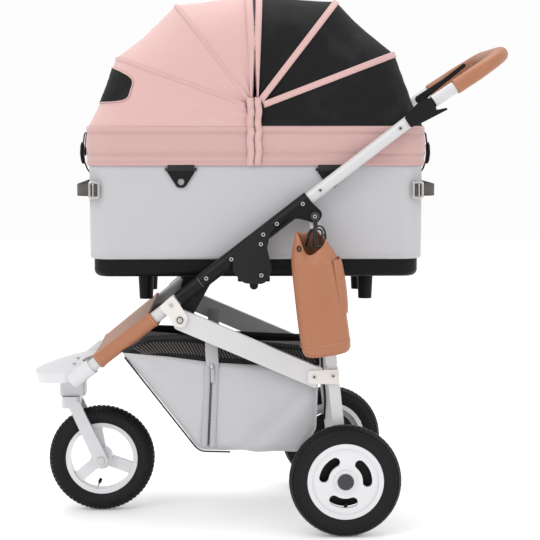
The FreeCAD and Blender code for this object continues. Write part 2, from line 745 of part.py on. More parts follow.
def rails():
    heading = (rail_end - knee).normalize()
    over = Vector(-heading.z, 0, heading.x)
    half = size.rail_height / 2
    low, high = knee - heading * 8, rail_end + heading * 12
    for side, sign in SIDES:
        outline = rounded([(*flat(low + over * half), 9), (*flat(high + over * half), 3),
                           (*flat(high - over * half), 3), (*flat(low - over * half), 9)])
        face = side_y + size.rail_width / 2
        high_y = face if sign > 0 else face - 2 * side_y
        keep("rail_" + side, plate("rail", outline, high_y, "rail_width",
                                   circles=[(*flat(knee), "knee_pin_radius")]))


def rear_plates():
    x0, x1 = rail_end.x - 13, strut_foot.x + 13
    z0, z1 = rail_end.z - 18, strut_foot.z + 14
    plates = []
    for _, sign in SIDES:
        outline = rounded([(x0, z0 + 4, 5), (x1, z0 + 2, 5), (x1, z1, 5), (x0, z1 - 3, 5)])
        inner = side_y + size.rail_width / 2 + 0.1
        high_y = inner + size.plate_thick if sign > 0 else -inner
        plates.append(plate("rear_plate", outline, high_y, "plate_thick"))
    keep("rear_plates", group(*plates))


def bar_outline(start, end, width, radius):
    heading = (end - start).normalize()
    over = Vector(-heading.z, 0, heading.x) * (width / 2)
    return rounded([(*flat(start + over), radius), (*flat(end + over), radius),
                    (*flat(end - over), radius), (*flat(start - over), radius)])


def struts_and_legs():
    heading = (rear_axle_at - ear).normalize()
    joint = strut_foot - heading * 2
    top = ear - heading * 10
    bars, legs = [], []
    for _, sign in SIDES:
        high_y = side_y + size.leg_thick / 2 if sign > 0 else -side_y + size.leg_thick / 2
        bars.append(plate("strut", bar_outline(top, joint - heading * 20, size.leg_width, 3),
                          high_y, "leg_thick"))
        leg_shape = bar_outline(joint - heading * 19.8, rear_axle_at + heading * 14, size.leg_width, 5)
        legs.append(plate("leg", leg_shape, high_y, "leg_thick",
                          circles=[(*flat(rear_axle_at), "rear_axle_radius")]))
    keep("struts", group(*bars))
    keep("rear_legs", group(*legs))


def rear_axle():
    reach = size.track / 2 + size.rim_width / 2 - 1
    bar = rod(at_side(rear_axle_at, -reach), at_side(rear_axle_at, reach), "rear_axle_radius")
    inner = side_y - size.leg_thick / 2 - 0.1
    tube = rod(at_side(rear_axle_at, -inner), at_side(rear_axle_at, inner), "rear_axle_radius + 4")
    keep("rear_axle", fuse(bar, tube))


def brakes():
    """A drum beside each rear wheel, and the cable that runs down the leg's inner face to it."""
    drums, cables = [], []
    for _, sign in SIDES:
        start = side_y + size.leg_thick / 2 + 0.1
        end = size.track / 2 - size.rim_width / 2 - 0.6
        drum = cut(rod(at_side(rear_axle_at, sign * start), at_side(rear_axle_at, sign * end),
                       "drum_radius"),
                   rod(at_side(rear_axle_at, sign * (start - 5)), at_side(rear_axle_at, sign * (end + 5)),
                       "rear_axle_radius"))
        drums.append(drum)
        y = sign * (side_y - size.leg_thick / 2 - size.cable_radius - 0.1)
        heading = (rear_axle_at - strut_foot).normalize()
        over = Vector(heading.z, 0, -heading.x)
        route = [strut_foot + heading * 6, strut_foot + heading * 62 + over * 4,
                 strut_foot + heading * 120 + over * 3, strut_foot + heading * 172 + over * 12]
        route = [at_side(p, y) for p in route]
        lengths = [(b - a).Length for a, b in zip(route, route[1:])]
        radii = []
        for i in range(1, len(route) - 1):
            turn = (route[i] - route[i - 1]).getAngle(route[i + 1] - route[i])
            radii.append(0.45 * min(lengths[i - 1], lengths[i]) / math.tan(turn / 2))
        path = bent_path(route, radii)
        shape = swept(path, size.cable_radius)
        wanted = math.pi * size.cable_radius ** 2 * path.Length
        print("brake cable: length", round(path.Length, 1), "radii", [round(r) for r in radii],
              "volume ratio", round(shape.Volume / wanted, 4))
        cables.append(feature(shape))
    keep("brake_drums", group(*drums))
    keep("brake_cables", group(*cables))


def frame_screws():
    on_tube = [station(s, 0) for s in (76, 142, 226, 262, 330, 376, 586)]
    on_bell = [Vector(size.dock_x + 14, 0, 614), Vector(size.dock_x + 15, 0, 549)]
    heads = []
    for _, sign in SIDES:
        shell_face = side_y + bracket_radius
        for place in on_tube:
            far = (place - tube_foot).Length > size.bracket_end
            face = side_y + size.tube_radius if far else shell_face
            if size.dock_x - 50 < place.x < size.dock_x + 46 and not far:
                face = shell_face + size.part_gap + 3
            heads += screw_row([place], sign * face)
        heads += screw_row(on_bell, sign * (shell_face + size.part_gap + 3))
        heads += screw_row([ear], sign * shell_face)
        if sign < 0:
            start = -(shell_face + size.screw_head)
            heads[-1] = fuse(heads[-1], rod(at_side(ear, start), at_side(ear, start - 9), "screw_radius"))
        heads += screw_row([rail_end, strut_foot],
                           sign * (side_y + size.rail_width / 2 + 0.1 + size.plate_thick))
    keep("frame_screws", group(*heads))


# ---------------------------------------------------------------- handle


def handle_place(distance, over=0.0, y=0.0):
    tilt = math.radians(size.handle_angle)
    ahead = Vector(math.cos(tilt), 0, math.sin(tilt))
    above = Vector(-math.sin(tilt), 0, math.cos(tilt))
    return at_side(handle_pivot + ahead * distance + above * over, y)


def handle_joints():
    """Fixed half of the handle's pivot: a cap on the upper tube's end, a wing with a spur, a pin."""
    joints = []
    centre = size.pivot_station
    lift = size.pivot_over
    outline = rounded([(*flat(station(place, over)), radius) for place, over, radius in (
        (centre - 51, 13, 4), (centre - 13, lift + 17, 14), (centre + 15, lift + 11, 14),
        (centre + 17, -6, 8), (centre + 11, -15, 3), (centre + 31, -25, 1.5),
        (centre + 30, -29, 1.5), (centre - 25, -19, 10), (centre - 53, -12, 4))])
    wing_inner = side_y + size.tube_radius + 0.4
    for _, sign in SIDES:
        high_y = wing_inner + 3.4 if sign > 0 else -wing_inner
        wing = plate("wing", outline, high_y, "3.4")
        start = size.tube_length + 0.05
        cap = rod(station(start, 0, sign * side_y), station(start + 3.2, 0, sign * side_y), "tube_radius")
        bridge = block(Vector(0, 0, 0), Length="3.2", Width="tube_radius + 2", Height="14")
        low_y = side_y if sign > 0 else -side_y - size.tube_radius - 2
        bridge.Placement = Placement(station(start, -7, low_y), Rotation(ACROSS, -size.tube_angle))
        pin = rod(at_side(handle_pivot, sign * (side_y - 18)),
                  at_side(handle_pivot, sign * (wing_inner + 2)), "knee_pin_radius")
        joints.append(fuse(cap, bridge, wing, pin))
    keep("handle_joints", group(*joints))


def handle_yokes():
    """Moving half of the handle's pivot: a boss on the pin and a plug inside the handle's tube."""
    yokes = []
    inner, outer = side_y - 16, side_y + size.tube_radius + 0.1
    for _, sign in SIDES:
        y = sign * side_y
        boss = rod(at_side(handle_pivot, sign * inner), at_side(handle_pivot, sign * outer), "boss_radius")
        plug = rod(handle_place(12, 0, y), handle_place(size.yoke_length, 0, y),
                   "tube_radius - tube_wall - run_fit")
        clear = rod(handle_place(size.handle_tube_start - 0.1, 0, y), handle_place(40, 0, y),
                    "tube_radius + 0.1")
        bore = rod(at_side(handle_pivot, sign * (inner - 9)), at_side(handle_pivot, sign * (outer + 9)),
                   "knee_pin_radius + run_fit")
        yokes.append(cut(fuse(cut(boss, clear), plug), bore))
    lug_y = -inner
    lug = rod(handle_place(-1, size.lever_rise, lug_y - 9), handle_place(-1, size.lever_rise, lug_y + 0.2),
              "9")
    lever_pin = rod(handle_place(-1, size.lever_rise, lug_y), handle_place(-1, size.lever_rise, lug_y + 12),
                    "3")
    left = fuse(yokes[0], lug, lever_pin)
    keep("handle_yokes", group(left, yokes[1]))


def handle_path(start):
    end_bar = size.handle_reach + size.grip_radius
    end = end_bar - size.grip_radius
    points = [handle_place(start, 0, -side_y), handle_place(end, 0, -side_y),
              handle_place(end, 0, side_y), handle_place(start, 0, side_y)]
    return bent_path(points, [size.handle_bend, size.handle_bend])


def handle():
    keep("handle_tube", feature(swept(handle_path(size.handle_tube_start), size.tube_radius,
                                      size.tube_radius - size.tube_wall)))
    keep("handle_grip", feature(swept(handle_path(size.grip_start), size.grip_radius,
                                      size.tube_radius + 0.01)))


def brake_lever():
    high = -(side_y - 16) + 0.6 + size.lever_thick
    tip = size.lever_length
    outline = rounded([(*flat(handle_place(-10, size.lever_rise + 9)), 8),
                       (*flat(handle_place(tip * 0.5, size.lever_rise + 8)), 60),
                       (*flat(handle_place(tip, size.lever_rise + 12)), 4),
                       (*flat(handle_place(tip, size.lever_rise + 4)), 4),
                       (*flat(handle_place(tip * 0.5, size.lever_rise - 2)), 60),
                       (*flat(handle_place(-10, size.lever_rise - 9)), 8)])
    circles = [(*flat(handle_place(-1, size.lever_rise)), "3 + run_fit")]
    keep("brake_lever", plate("lever", outline, high, "lever_thick", circles))


# ---------------------------------------------------------------- cot


def cot_outline(inset):
    """The cot's plan, inset from its outside."""
    return rectangle(cot_front + inset, cot_rear - inset, -cot_half + inset, cot_half - inset,
                     max(size.cot_corner - inset, 4))


def cot():
    shell = slab("shell", cot_outline(0), size.cot_floor_z, "cot_top_z - cot_floor_z")
    height = size.cot_top_z - size.cot_floor_z
    hollow(shell, cot_outline(size.cot_wall), "XY_Plane", height, "cot_top_z - cot_floor_z - cot_base")
    keep("cot_shell", shell)

    tray_low = size.cot_floor_z - size.tray_height
    tray = slab("tray", cot_outline(size.tray_inset), tray_low, "tray_height")
    fillet_edges(tray, 14, lambda edge: edge.BoundBox.ZMax < tray_low + 0.01)
    tongues = []
    inner = cot_half - size.tray_inset - size.tongue_thick
    for _, sign in SIDES:
        low_y = inner if sign > 0 else -inner - size.tongue_thick
        tongues.append(block(Vector(size.dock_x - size.tongue_length / 2, low_y,
                                    tray_low - size.tongue_drop),
                             Length="tongue_length", Width="tongue_thick",
                             Height="tongue_drop + tray_height / 2"))
    keep("cot_tray", fuse(tray, *tongues))

    feet = []
    for sx in (-1, 1):
        for sy in (-1, 1):
            foot = bind(doc.addObject("Part::Cone", "foot"), Radius1="foot_tip_radius",
                        Radius2="foot_radius", Height="foot_length")
            foot.Placement = Placement(Vector(size.cot_middle_x + sx * size.foot_half_x,
                                              sy * size.foot_half_y, tray_low - size.foot_length),
                                       Rotation())
            feet.append(foot)
    keep("cot_feet", group(*feet))

    pad = slab("pad", cot_outline(size.cot_wall + 6), size.cot_floor_z + size.cot_base + 0.2, "pad_thick")
    keep("floor_pad", pad)


def skirt():
    """The pink band round the top of the cot."""
    gap = size.part_gap
    band = slab("skirt_band", cot_outline(-gap - size.skirt_thick),
                size.cot_top_z - size.skirt_height + 2, "skirt_height")
    hollow(band, cot_outline(-gap), "XY_Plane", size.skirt_height, "skirt_height + 1")
    keep("cot_skirt", band)


def carry_straps():
    """A webbing handle across each end, held by a clip on each side of the cot."""
    loops = []
    inner_half = cot_half + size.part_gap
    outer_half = inner_half + size.strap_thick
    inner_corner = size.carry_corner - size.strap_thick
    for end, sign in ((cot_front, -1), (cot_rear, 1)):
        leg = end - sign * size.carry_leg
        proud = end + sign * size.carry_proud
        inside = proud - sign * size.strap_thick
        outline = rounded([(leg, -outer_half, 0), (proud, -outer_half, size.carry_corner),
                           (proud, outer_half, size.carry_corner), (leg, outer_half, 0),
                           (leg, inner_half, 0), (inside, inner_half, inner_corner),
                           (inside, -inner_half, inner_corner), (leg, -inner_half, 0)])
        loops.append(slab("loop", outline, size.carry_low_z, "carry_width"))
    keep("carry_straps", group(*loops))


def strap_rings():
    """Triangular rings hung from webbing tabs, a pair on each side."""
    tabs = []
    for side, sign in SIDES:
        face = cot_half + size.part_gap
        pair = []
        for sx in (-1, 1):
            x = size.cot_middle_x + sx * size.ring_half_x
            top = size.ring_top_z
            shape = rounded([(x - 29, top + 4, 4), (x + 29, top + 4, 4), (x + 29, top - 5, 4),
                             (x + 8, top - 38, 9), (x - 8, top - 38, 9), (x - 29, top - 5, 4)])
            inner = face + size.ring_gap
            high = inner + size.ring_thick if sign > 0 else -inner
            circles = [(x, top - 26, "ring_hole")]
            hanger_y = inner + size.ring_thick / 2
            ring = plate("ring", shape, high, "ring_thick", circles)
            bar = rod(Vector(x - 34, sign * hanger_y, top), Vector(x + 34, sign * hanger_y, top),
                      "1.2 + run_fit")
            pair.append(cut(ring, bar))
            wire = rod(Vector(x - 32, sign * hanger_y, top), Vector(x + 32, sign * hanger_y, top),
                       "1.2")
            feet = []
            for foot_x in (x - 33, x + 30):
                low_y = cot_half if sign > 0 else -inner - size.ring_thick
                feet.append(block(Vector(foot_x, low_y, top - 3), Length="3",
                                  Width="part_gap + ring_gap + ring_thick", Height="6"))
            tabs.append(fuse(wire, *feet))
        keep("strap_rings_" + side, group(*pair))
    keep("ring_hangers", group(*tabs))


# ---------------------------------------------------------------- hood

# name, angle of the hoop's plane (degrees above the rear), reach to its top, place on the pin
FRONT_HOOPS = [("hoop_front_2", 160.0, 309.7, 0), ("hoop_front_1", 127.2, 272.6, 2),
               ("hoop_front_centre", 91.5, 242.0, 4)]
REAR_HOOPS = [("hoop_rear_2", 21.0, 320.0, 1), ("hoop_rear_1", 52.3, 284.4, 3),
              ("hoop_rear_centre", 88.5, 242.0, 5)]


def outward(angle):
    return Vector(math.cos(math.radians(angle)), 0, math.sin(math.radians(angle)))


hood_pivot = Vector(size.hood_pivot_x, 0, size.hood_pivot_z)
pin_outer = cot_half - 10


def hoops():
    for name, angle, reach, place in FRONT_HOOPS + REAR_HOOPS:
        half = pin_outer - place * size.hoop_step
        heading = outward(angle)
        corner = hood_pivot + heading * reach
        points = [at_side(hood_pivot + heading * 6, -half), at_side(corner, -half),
                  at_side(corner, half), at_side(hood_pivot + heading * 6, half)]
        wire = bent_path(points, [size.hoop_corner] * 2)
        pieces, bores = [feature(swept(wire, size.hoop_radius))], []
        for sign in (-1, 1):
            middle = at_side(hood_pivot, sign * half)
            half_eye = ACROSS * (size.hoop_eye_thick / 2)
            pieces.append(rod(middle - half_eye, middle + half_eye, "hoop_eye"))
            bores.append(rod(middle - half_eye * 2, middle + half_eye * 2, "hoop_pin_radius + run_fit"))
        keep(name, cut(fuse(*pieces), *bores))


def hood_stays():
    """An upright on each side wall, with the pin that the hoops turn on."""
    stays = []
    for _, sign in SIDES:
        inner = pin_outer + size.hoop_eye_thick / 2 + 0.5
        high = inner + 4 if sign > 0 else -inner
        x = size.hood_pivot_x
        outline = rounded([(x - 24, size.cot_top_z + 0.2, 2), (x + 24, size.cot_top_z + 0.2, 2),
                           (x + 13, size.hood_pivot_z + 14, 12), (x - 13, size.hood_pivot_z + 14, 12)])
        upright = plate("upright", outline, high, "4")
        last = pin_outer - 5 * size.hoop_step - size.hoop_eye_thick
        pin = rod(at_side(hood_pivot, sign * last), at_side(hood_pivot, sign * (inner + 2)),
                  "hoop_pin_radius")
        stays.append(fuse(upright, pin))
    keep("hood_stays", group(*stays))


def hood_ring(angle, reach, half, thick):
    """A closed band that follows one hoop's line: legs, corners and top, thick deep."""
    heading = outward(angle)
    start = 24.0
    radius = min(size.hoop_corner, reach - start - 6)

    def u_line(inset):
        top = hood_pivot + heading * (reach - inset)
        foot = hood_pivot + heading * start
        points = [at_side(foot, -half + inset), at_side(top, -half + inset),
                  at_side(top, half - inset), at_side(foot, half - inset)]
        return bent_path(points, [radius - inset] * 2).Edges

    outer, inner = u_line(0), u_line(thick)
    first = Part.LineSegment(outer[0].Vertexes[0].Point, inner[0].Vertexes[0].Point).toShape()
    last = Part.LineSegment(outer[-1].Vertexes[-1].Point, inner[-1].Vertexes[-1].Point).toShape()
    return Part.Wire(Part.__sortEdges__(outer + [last] + inner + [first]))


def gore(low_angle, low_reach, high_angle, high_reach):
    """One panel of the hood between two hoops."""
    half = pin_outer + 14
    bands = [hood_ring(low_angle, low_reach, half, size.hood_thick),
             hood_ring(high_angle, high_reach, half, size.hood_thick)]
    return feature(Part.makeLoft(bands, True, True))


def hood():
    lift = size.hoop_radius + 3.5
    rim_z = size.cot_top_z + 4
    for label, hoops_here, end, turn in (("hood_front_fabric", FRONT_HOOPS, cot_front - 6, -1),
                                         ("hood_rear_mesh", REAR_HOOPS, cot_rear + 6, 1)):
        rim = Vector(end, 0, rim_z) - hood_pivot
        rim_angle = 180 + math.degrees(math.atan2(-rim.z, -rim.x)) if turn < 0 else \
            math.degrees(math.atan2(rim.z, rim.x))
        lines = [(rim_angle, rim.Length)] + [(a, r + lift) for _, a, r, _ in hoops_here]
        panels = []
        for (a0, r0), (a1, r1) in zip(lines, lines[1:]):
            step = 0.35 if a1 > a0 else -0.35
            panels.append(gore(a0 + step, r0, a1 - step, r1))
        keep(label, group(*panels))


# ---------------------------------------------------------------- basket and pouch


def basket():
    """A deep sling under the rails, open at the top."""
    wall = size.basket_wall
    half = side_y - size.rail_width / 2 - size.basket_gap
    outer = [(-262, 410, 8), (-320, 372, 2), (-157, 172, 26), (62, 165, 26), (92, 215, 26),
             (100, 384, 3), (-190, 414, 30)]
    inner = [(-320 + wall * 1.7, 450, 0), (-320 + wall * 1.7, 371, 0), (-157 + wall, 172 + wall, 24),
             (62 - wall, 165 + wall, 24), (92 - wall, 215, 24), (100 - wall, 384, 0),
             (100 - wall, 450, 0)]
    body = doc.addObject("PartDesign::Body", "basket")
    pad = body.newObject("PartDesign::Pad", "pad")
    pad.Profile = sketch_on(body, "XZ_Plane", rounded(outer))
    pad.Length = 2 * half
    pad.Midplane = True
    doc.recompute()
    before = body.Shape.Volume
    pocket = body.newObject("PartDesign::Pocket", "pocket")
    pocket.Profile = sketch_on(body, "XZ_Plane", rounded(inner))
    pocket.Length = 2 * (half - wall)
    pocket.Midplane = True
    doc.recompute()
    if body.Shape.Volume > before * 0.5:
        raise RuntimeError("basket: the pocket cuts too little")
    keep("basket", body)


def pouch():
    """A drawstring pouch hung outside the left strut, with its hook at the bracket's ear."""
    top = Vector(ear.x - 6, 0, ear.z - 24)
    tilt = math.radians(size.pouch_tilt)
    down = Vector(math.sin(tilt), 0, -math.cos(tilt))
    middle_y = -(side_y + bracket_radius + size.screw_head + size.pouch_gap + size.pouch_depth / 2)
    sections = [(0.0, 0.62, 0.55), (0.10, 0.90, 0.86), (0.5, 1.0, 1.0), (0.93, 1.0, 1.0), (1.0, 0.9, 0.88)]
    wires = []
    for share, wide, deep in sections:
        middle = at_side(top + down * (size.pouch_height * share), middle_y)
        ring = Part.Ellipse(Vector(0, 0, 0), size.pouch_width / 2 * wide, size.pouch_depth / 2 * deep)
        wire = Part.Wire(ring.toShape())
        wire.Placement = Placement(middle, Rotation(ACROSS, -math.degrees(tilt)))
        wires.append(wire)
    bag = feature(Part.makeLoft(wires, True, False))
    hook_y = -(side_y + bracket_radius + size.screw_head + 7)
    eye = cut(rod(at_side(ear, hook_y - 5), at_side(ear, hook_y), "9"),
              rod(at_side(ear, hook_y - 9), at_side(ear, hook_y + 9), "screw_radius + run_fit"))
    strap = feature(swept(bent_path([at_side(ear - UP * 7, hook_y - 2.5),
                                     at_side(ear - UP * 22, hook_y - 5),
                                     at_side(top + down * 14, middle_y + 6)], [14]), 2.5))
    keep("pouch", fuse(bag, eye, strap))


# ---------------------------------------------------------------- build

for build in (rear_wheels, front_wheel, fork, head, casting, front_tubes, front_cover, front_plates,
              front_screws, upper_tubes, lock_sleeves, side_brackets, dock, knuckles, rails,
              rear_plates, struts_and_legs, rear_axle, brakes, frame_screws, handle_joints,
              handle_yokes, handle, brake_lever, cot, skirt, carry_straps, strap_rings, hoops,
              hood_stays, hood, basket, pouch):
    build()
doc.recompute()

for thing in doc.Objects:
    if "Invalid" in thing.State or "Error" in thing.State:
        raise RuntimeError(f"{thing.Label}: {thing.State}")
for node in nodes:
    if node.Shape.isNull() or not node.Shape.isValid():
        raise RuntimeError(node.Label + ": its shape is not valid")
    if not node.Shape.Solids:
        raise RuntimeError(node.Label + ": it has no solid")

os.makedirs("parts", exist_ok=True)
for node in nodes:
    node.Shape.exportStep(f"parts/{node.Label}.step")
print(len(nodes), "sub-parts")
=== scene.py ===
# %% [markdown]
# # A pet stroller with a soft cot, a domed hood and three air tyres
# The frame, wheels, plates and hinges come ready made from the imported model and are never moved.
# This lesson adds what metal drawings can't show: cloth that bulges and puckers, leather with a grain,
# net, webbing, zips, stitches and tread, and a finish for every part.

# %% Load the frame
import json
import math

import bpy
import bmesh
import numpy as np
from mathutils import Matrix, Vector, noise


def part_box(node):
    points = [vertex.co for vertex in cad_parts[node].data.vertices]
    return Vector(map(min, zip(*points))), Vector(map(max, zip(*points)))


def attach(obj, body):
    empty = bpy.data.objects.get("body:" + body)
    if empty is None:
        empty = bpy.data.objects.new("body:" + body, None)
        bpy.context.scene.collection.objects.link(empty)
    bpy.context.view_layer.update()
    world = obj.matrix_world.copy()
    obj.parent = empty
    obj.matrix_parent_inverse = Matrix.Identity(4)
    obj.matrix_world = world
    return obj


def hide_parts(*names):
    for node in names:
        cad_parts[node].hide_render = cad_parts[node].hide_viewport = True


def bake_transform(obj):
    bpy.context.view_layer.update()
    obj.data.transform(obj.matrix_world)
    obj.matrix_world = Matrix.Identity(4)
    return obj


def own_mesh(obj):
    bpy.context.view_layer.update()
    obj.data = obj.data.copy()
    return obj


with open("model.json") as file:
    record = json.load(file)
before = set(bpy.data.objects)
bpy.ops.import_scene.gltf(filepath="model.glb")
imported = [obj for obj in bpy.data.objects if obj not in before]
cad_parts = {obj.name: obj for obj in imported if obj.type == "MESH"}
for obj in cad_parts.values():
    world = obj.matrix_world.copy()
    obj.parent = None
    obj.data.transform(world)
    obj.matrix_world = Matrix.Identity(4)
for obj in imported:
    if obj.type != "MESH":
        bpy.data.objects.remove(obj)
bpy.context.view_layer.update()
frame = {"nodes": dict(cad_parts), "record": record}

# %% [markdown]
# ## Camera
# The stroller is seen from its left side, level with the cot's rim and from almost four metres away,
# so its lines stay nearly parallel. A long lens keeps the wheels round. The camera is aimed with
# to_track_quat, which turns its -Z axis to the target, and the lens is set from its focal length.

# %% Camera
eye, target = Vector((-0.091, -3.70, 0.856)), Vector((-0.001, 0.0, 0.5390))
lens = bpy.data.cameras.new("camera")
lens.lens, lens.sensor_width, lens.clip_end = 111.0, 36.0, 100.0
camera = bpy.data.objects.new("camera", lens)
camera.location = eye
camera.rotation_euler = (target - eye).to_track_quat("-Z", "Y").to_euler()
bpy.context.scene.collection.objects.link(camera)
bpy.context.scene.camera = camera
print("camera looks along", (target - eye).normalized()[:])

# %% [markdown]
# ## Floor and light
# A plain pale floor catches a soft shadow. Three big area lights stand in for studio soft boxes, because
# large lights give wide, soft highlights on tubes and cloth, and a pale world fills the shadows.

# %% Floor and light
floor_mesh = bpy.data.meshes.new("floor")
floor_mesh.from_pydata([(-9, -9, 0), (9, -9, 0), (9, 9, 0), (-9, 9, 0)], [], [(0, 1, 2, 3)])
floor = bpy.data.objects.new("floor", floor_mesh)
bpy.context.scene.collection.objects.link(floor)

world = bpy.data.worlds.new("studio")
bpy.context.scene.world = world
world.use_nodes = True
world.node_tree.nodes["Background"].inputs["Color"].default_value = (1.0, 1.0, 1.0, 1)
world.node_tree.nodes["Background"].inputs["Strength"].default_value = 0.98
bpy.context.scene.view_settings.view_transform = "Standard"


MIDDLE = Vector((0, 0, 0.6))


def soft_box(name, place, size, power):
    light = bpy.data.lights.new(name, "AREA")
    light.shape, light.energy = "RECTANGLE", power
    light.size, light.size_y = size
    box = bpy.data.objects.new(name, light)
    box.location = place
    box.rotation_euler = (MIDDLE - Vector(place)).to_track_quat("-Z", "Y").to_euler()
    bpy.context.scene.collection.objects.link(box)


soft_box("key", place=(-2.2, -2.6, 3.0), size=(2.4, 2.4), power=50)
soft_box("fill", place=(2.8, -2.2, 1.8), size=(2.0, 2.4), power=20)
soft_box("top", place=(0.0, 0.6, 3.4), size=(3.0, 2.4), power=48)

# %% [markdown]
# ## A short way to write node trees
# Shader trees and Geometry Nodes trees are both nodes joined by links. One helper adds a node, sets its
# properties, and fills its sockets: a value is written into the socket, and another node's socket is
# linked to it. Everything below is written with it, which keeps each finish readable.

# %% Node helper
def add(tree, kind, props=None, **sockets):
    node = tree.nodes.new(kind)
    for key, value in (props or {}).items():
        setattr(node, key, value)
    for key, value in sockets.items():
        wanted = key.replace("_", " ").strip()
        index = int(wanted[1:]) if wanted[0] == "i" and wanted[1:].isdigit() else None
        socket = node.inputs[index] if index is not None else node.inputs[wanted]
        if isinstance(value, bpy.types.NodeSocket):
            tree.links.new(value, socket)
        else:
            socket.default_value = value
    return node


def mix_value(tree, share, first, second):
    return add(tree, "ShaderNodeMix", i0=share, i2=first, i3=second).outputs[0]


def mix_colour(tree, share, first, second, way="MIX"):
    props = {"data_type": "RGBA", "blend_type": way}
    return add(tree, "ShaderNodeMix", props, i0=share, i6=first, i7=second).outputs[2]


def new_finish(name):
    mat = bpy.data.materials.new(name)
    mat.use_nodes = True
    return mat, mat.node_tree, mat.node_tree.nodes["Principled BSDF"]


def fill(shader, tree, **values):
    """Sets a shader's sockets: a number is written straight in, and a node's socket is linked."""
    for key, value in values.items():
        socket = shader.inputs[key.replace("_", " ")]
        if isinstance(value, bpy.types.NodeSocket):
            tree.links.new(value, socket)
        else:
            socket.default_value = value


def tinted(colour, share):
    return tuple(min(1.0, c * share) for c in colour[:3]) + (1.0,)


# %% [markdown]
# ## Small helpers for shapes
# Directions are used at length one, both sides of the stroller share their code, and every turned or
# lofted shape needs a ring of angles.

# %% Shape helpers
def unit(vectors):
    vectors = np.asarray(vectors, float)
    return vectors / np.linalg.norm(vectors, axis=-1, keepdims=True)


def side_name(sign):
    return "left" if sign < 0 else "right"


def angles(count):
    """Even steps round a circle. The last step back to the first is left out."""
    return np.linspace(0, 2 * math.pi, count, endpoint=False)


def closed_line(line):
    return np.vstack([line, line[:1]])


def at_height(outline, z):
    """A flat outline of (x, y) points, lifted to one height."""
    return np.column_stack([outline, np.full(len(outline), z)])


# %% [markdown]
# ## Finishes that share one pattern
# Powder coat, moulded plastic, rubber and leather all differ in three things: how their colour wanders
# over the piece, how fine their grain is, and how shiny they are. One builder takes those numbers.
# A broad noise tints the colour and the roughness, and a fine noise becomes bump, on Object coordinates,
# so the grain keeps its real size in metres on every piece.

# %% Grained finish
BROAD_SCALE, SMALL_SCALE, SMALL_SHARE = 9.0, 240.0, 0.35
GLOSS_SPREAD = 0.14


def grained(name, colour, rough, grain, depth, wander, metal=0.0, coat=0.0, pebbles=False, shine=0.5):
    mat, tree, shader = new_finish(name)
    where = add(tree, "ShaderNodeTexCoord").outputs["Object"]
    broad = add(tree, "ShaderNodeTexNoise", Vector=where, Scale=BROAD_SCALE, Detail=4.0)
    small = add(tree, "ShaderNodeTexNoise", Vector=where, Scale=SMALL_SCALE, Detail=2.0)
    both = mix_value(tree, SMALL_SHARE, broad.outputs["Fac"], small.outputs["Fac"])
    tint = mix_colour(tree, both, tinted(colour, 1 - wander), tinted(colour, 1 + wander))
    if pebbles:
        cells = {"feature": "SMOOTH_F1"}
        fine = add(tree, "ShaderNodeTexVoronoi", cells, Vector=where, Scale=1 / grain).outputs["Distance"]
    else:
        fine = add(tree, "ShaderNodeTexNoise", Vector=where, Scale=1 / grain, Detail=3.0).outputs["Fac"]
    bump = add(tree, "ShaderNodeBump", Strength=0.6, Distance=depth, Height=fine)
    gloss = add(tree, "ShaderNodeMapRange", Value=both, To_Min=rough * (1 - GLOSS_SPREAD),
                To_Max=rough * (1 + GLOSS_SPREAD))
    fill(shader, tree, Base_Color=tint, Normal=bump.outputs["Normal"], Roughness=gloss.outputs["Result"],
         Metallic=metal, Specular_IOR_Level=shine, Coat_Weight=coat, Coat_Roughness=0.2)
    return mat


# Each row holds a name, a colour, and then the roughness, grain, bump depth and wander.
finish = {name: grained(name, colour, *numbers, **more) for name, colour, numbers, more in (
    ("frame_white", (0.520, 0.515, 0.522), (0.33, 0.0011, 0.00005, 0.02), {"coat": 0.25}),
    ("plate_white", (0.62, 0.60, 0.565), (0.42, 0.0011, 0.00006, 0.02), {}),
    ("bracket_black", (0.007, 0.007, 0.0078), (0.36, 0.0009, 0.00005, 0.15), {"shine": 0.14}),
    ("dock_black", (0.013, 0.013, 0.014), (0.55, 0.0010, 0.00007, 0.12), {"shine": 0.16}),
    ("plastic_black", (0.006, 0.006, 0.0065), (0.42, 0.0008, 0.00006, 0.15), {"shine": 0.16}),
    ("tray_black", (0.005, 0.005, 0.0055), (0.42, 0.0012, 0.00007, 0.15), {"shine": 0.12}),
    ("steel", (0.47, 0.46, 0.45), (0.22, 0.002, 0.00002, 0.06), {"metal": 1.0}),
    ("tyre", (0.005, 0.005, 0.0055), (0.50, 0.0014, 0.0001, 0.2), {"shine": 0.20}),
    ("rim_white", (0.62, 0.61, 0.63), (0.3, 0.0015, 0.00004, 0.015), {"coat": 0.2}),
    ("hub_grey", (0.036, 0.036, 0.040), (0.42, 0.001, 0.00006, 0.1), {"shine": 0.35}),
    ("cast_white", (0.565, 0.557, 0.580), (0.36, 0.0016, 0.00005, 0.02), {"coat": 0.12}),
    ("leather", (0.325, 0.126, 0.058), (0.46, 0.0016, 0.00022, 0.07), {"pebbles": True}),
    ("cable_black", (0.006, 0.006, 0.006), (0.4, 0.001, 0.00003, 0.1), {"shine": 0.18}),
    ("hoop_steel", (0.5, 0.5, 0.52), (0.3, 0.002, 0.00003, 0.08), {"metal": 1.0}),
    ("floor", (0.95, 0.95, 0.95), (0.7, 0.01, 0.00002, 0.004), {}),
)}
print("grained finishes:", len(finish))

# %% [markdown]
# ## Cloth finishes
# Woven cloth is threads that pass over and under each other. Two wave textures are the two thread
# directions, and a checker chooses which lies on top, as a plain weave does. The pattern reads the UV
# map, whose units are metres, so the threads follow the cloth round every fold. Net is the same idea
# with a regular Voronoi: round holes in rows, darker than the threads.

# %% Woven finish
ONE_WAVE = 0.314  # the scale at which a wave texture has one wave in each metre, which is 2 pi / 20


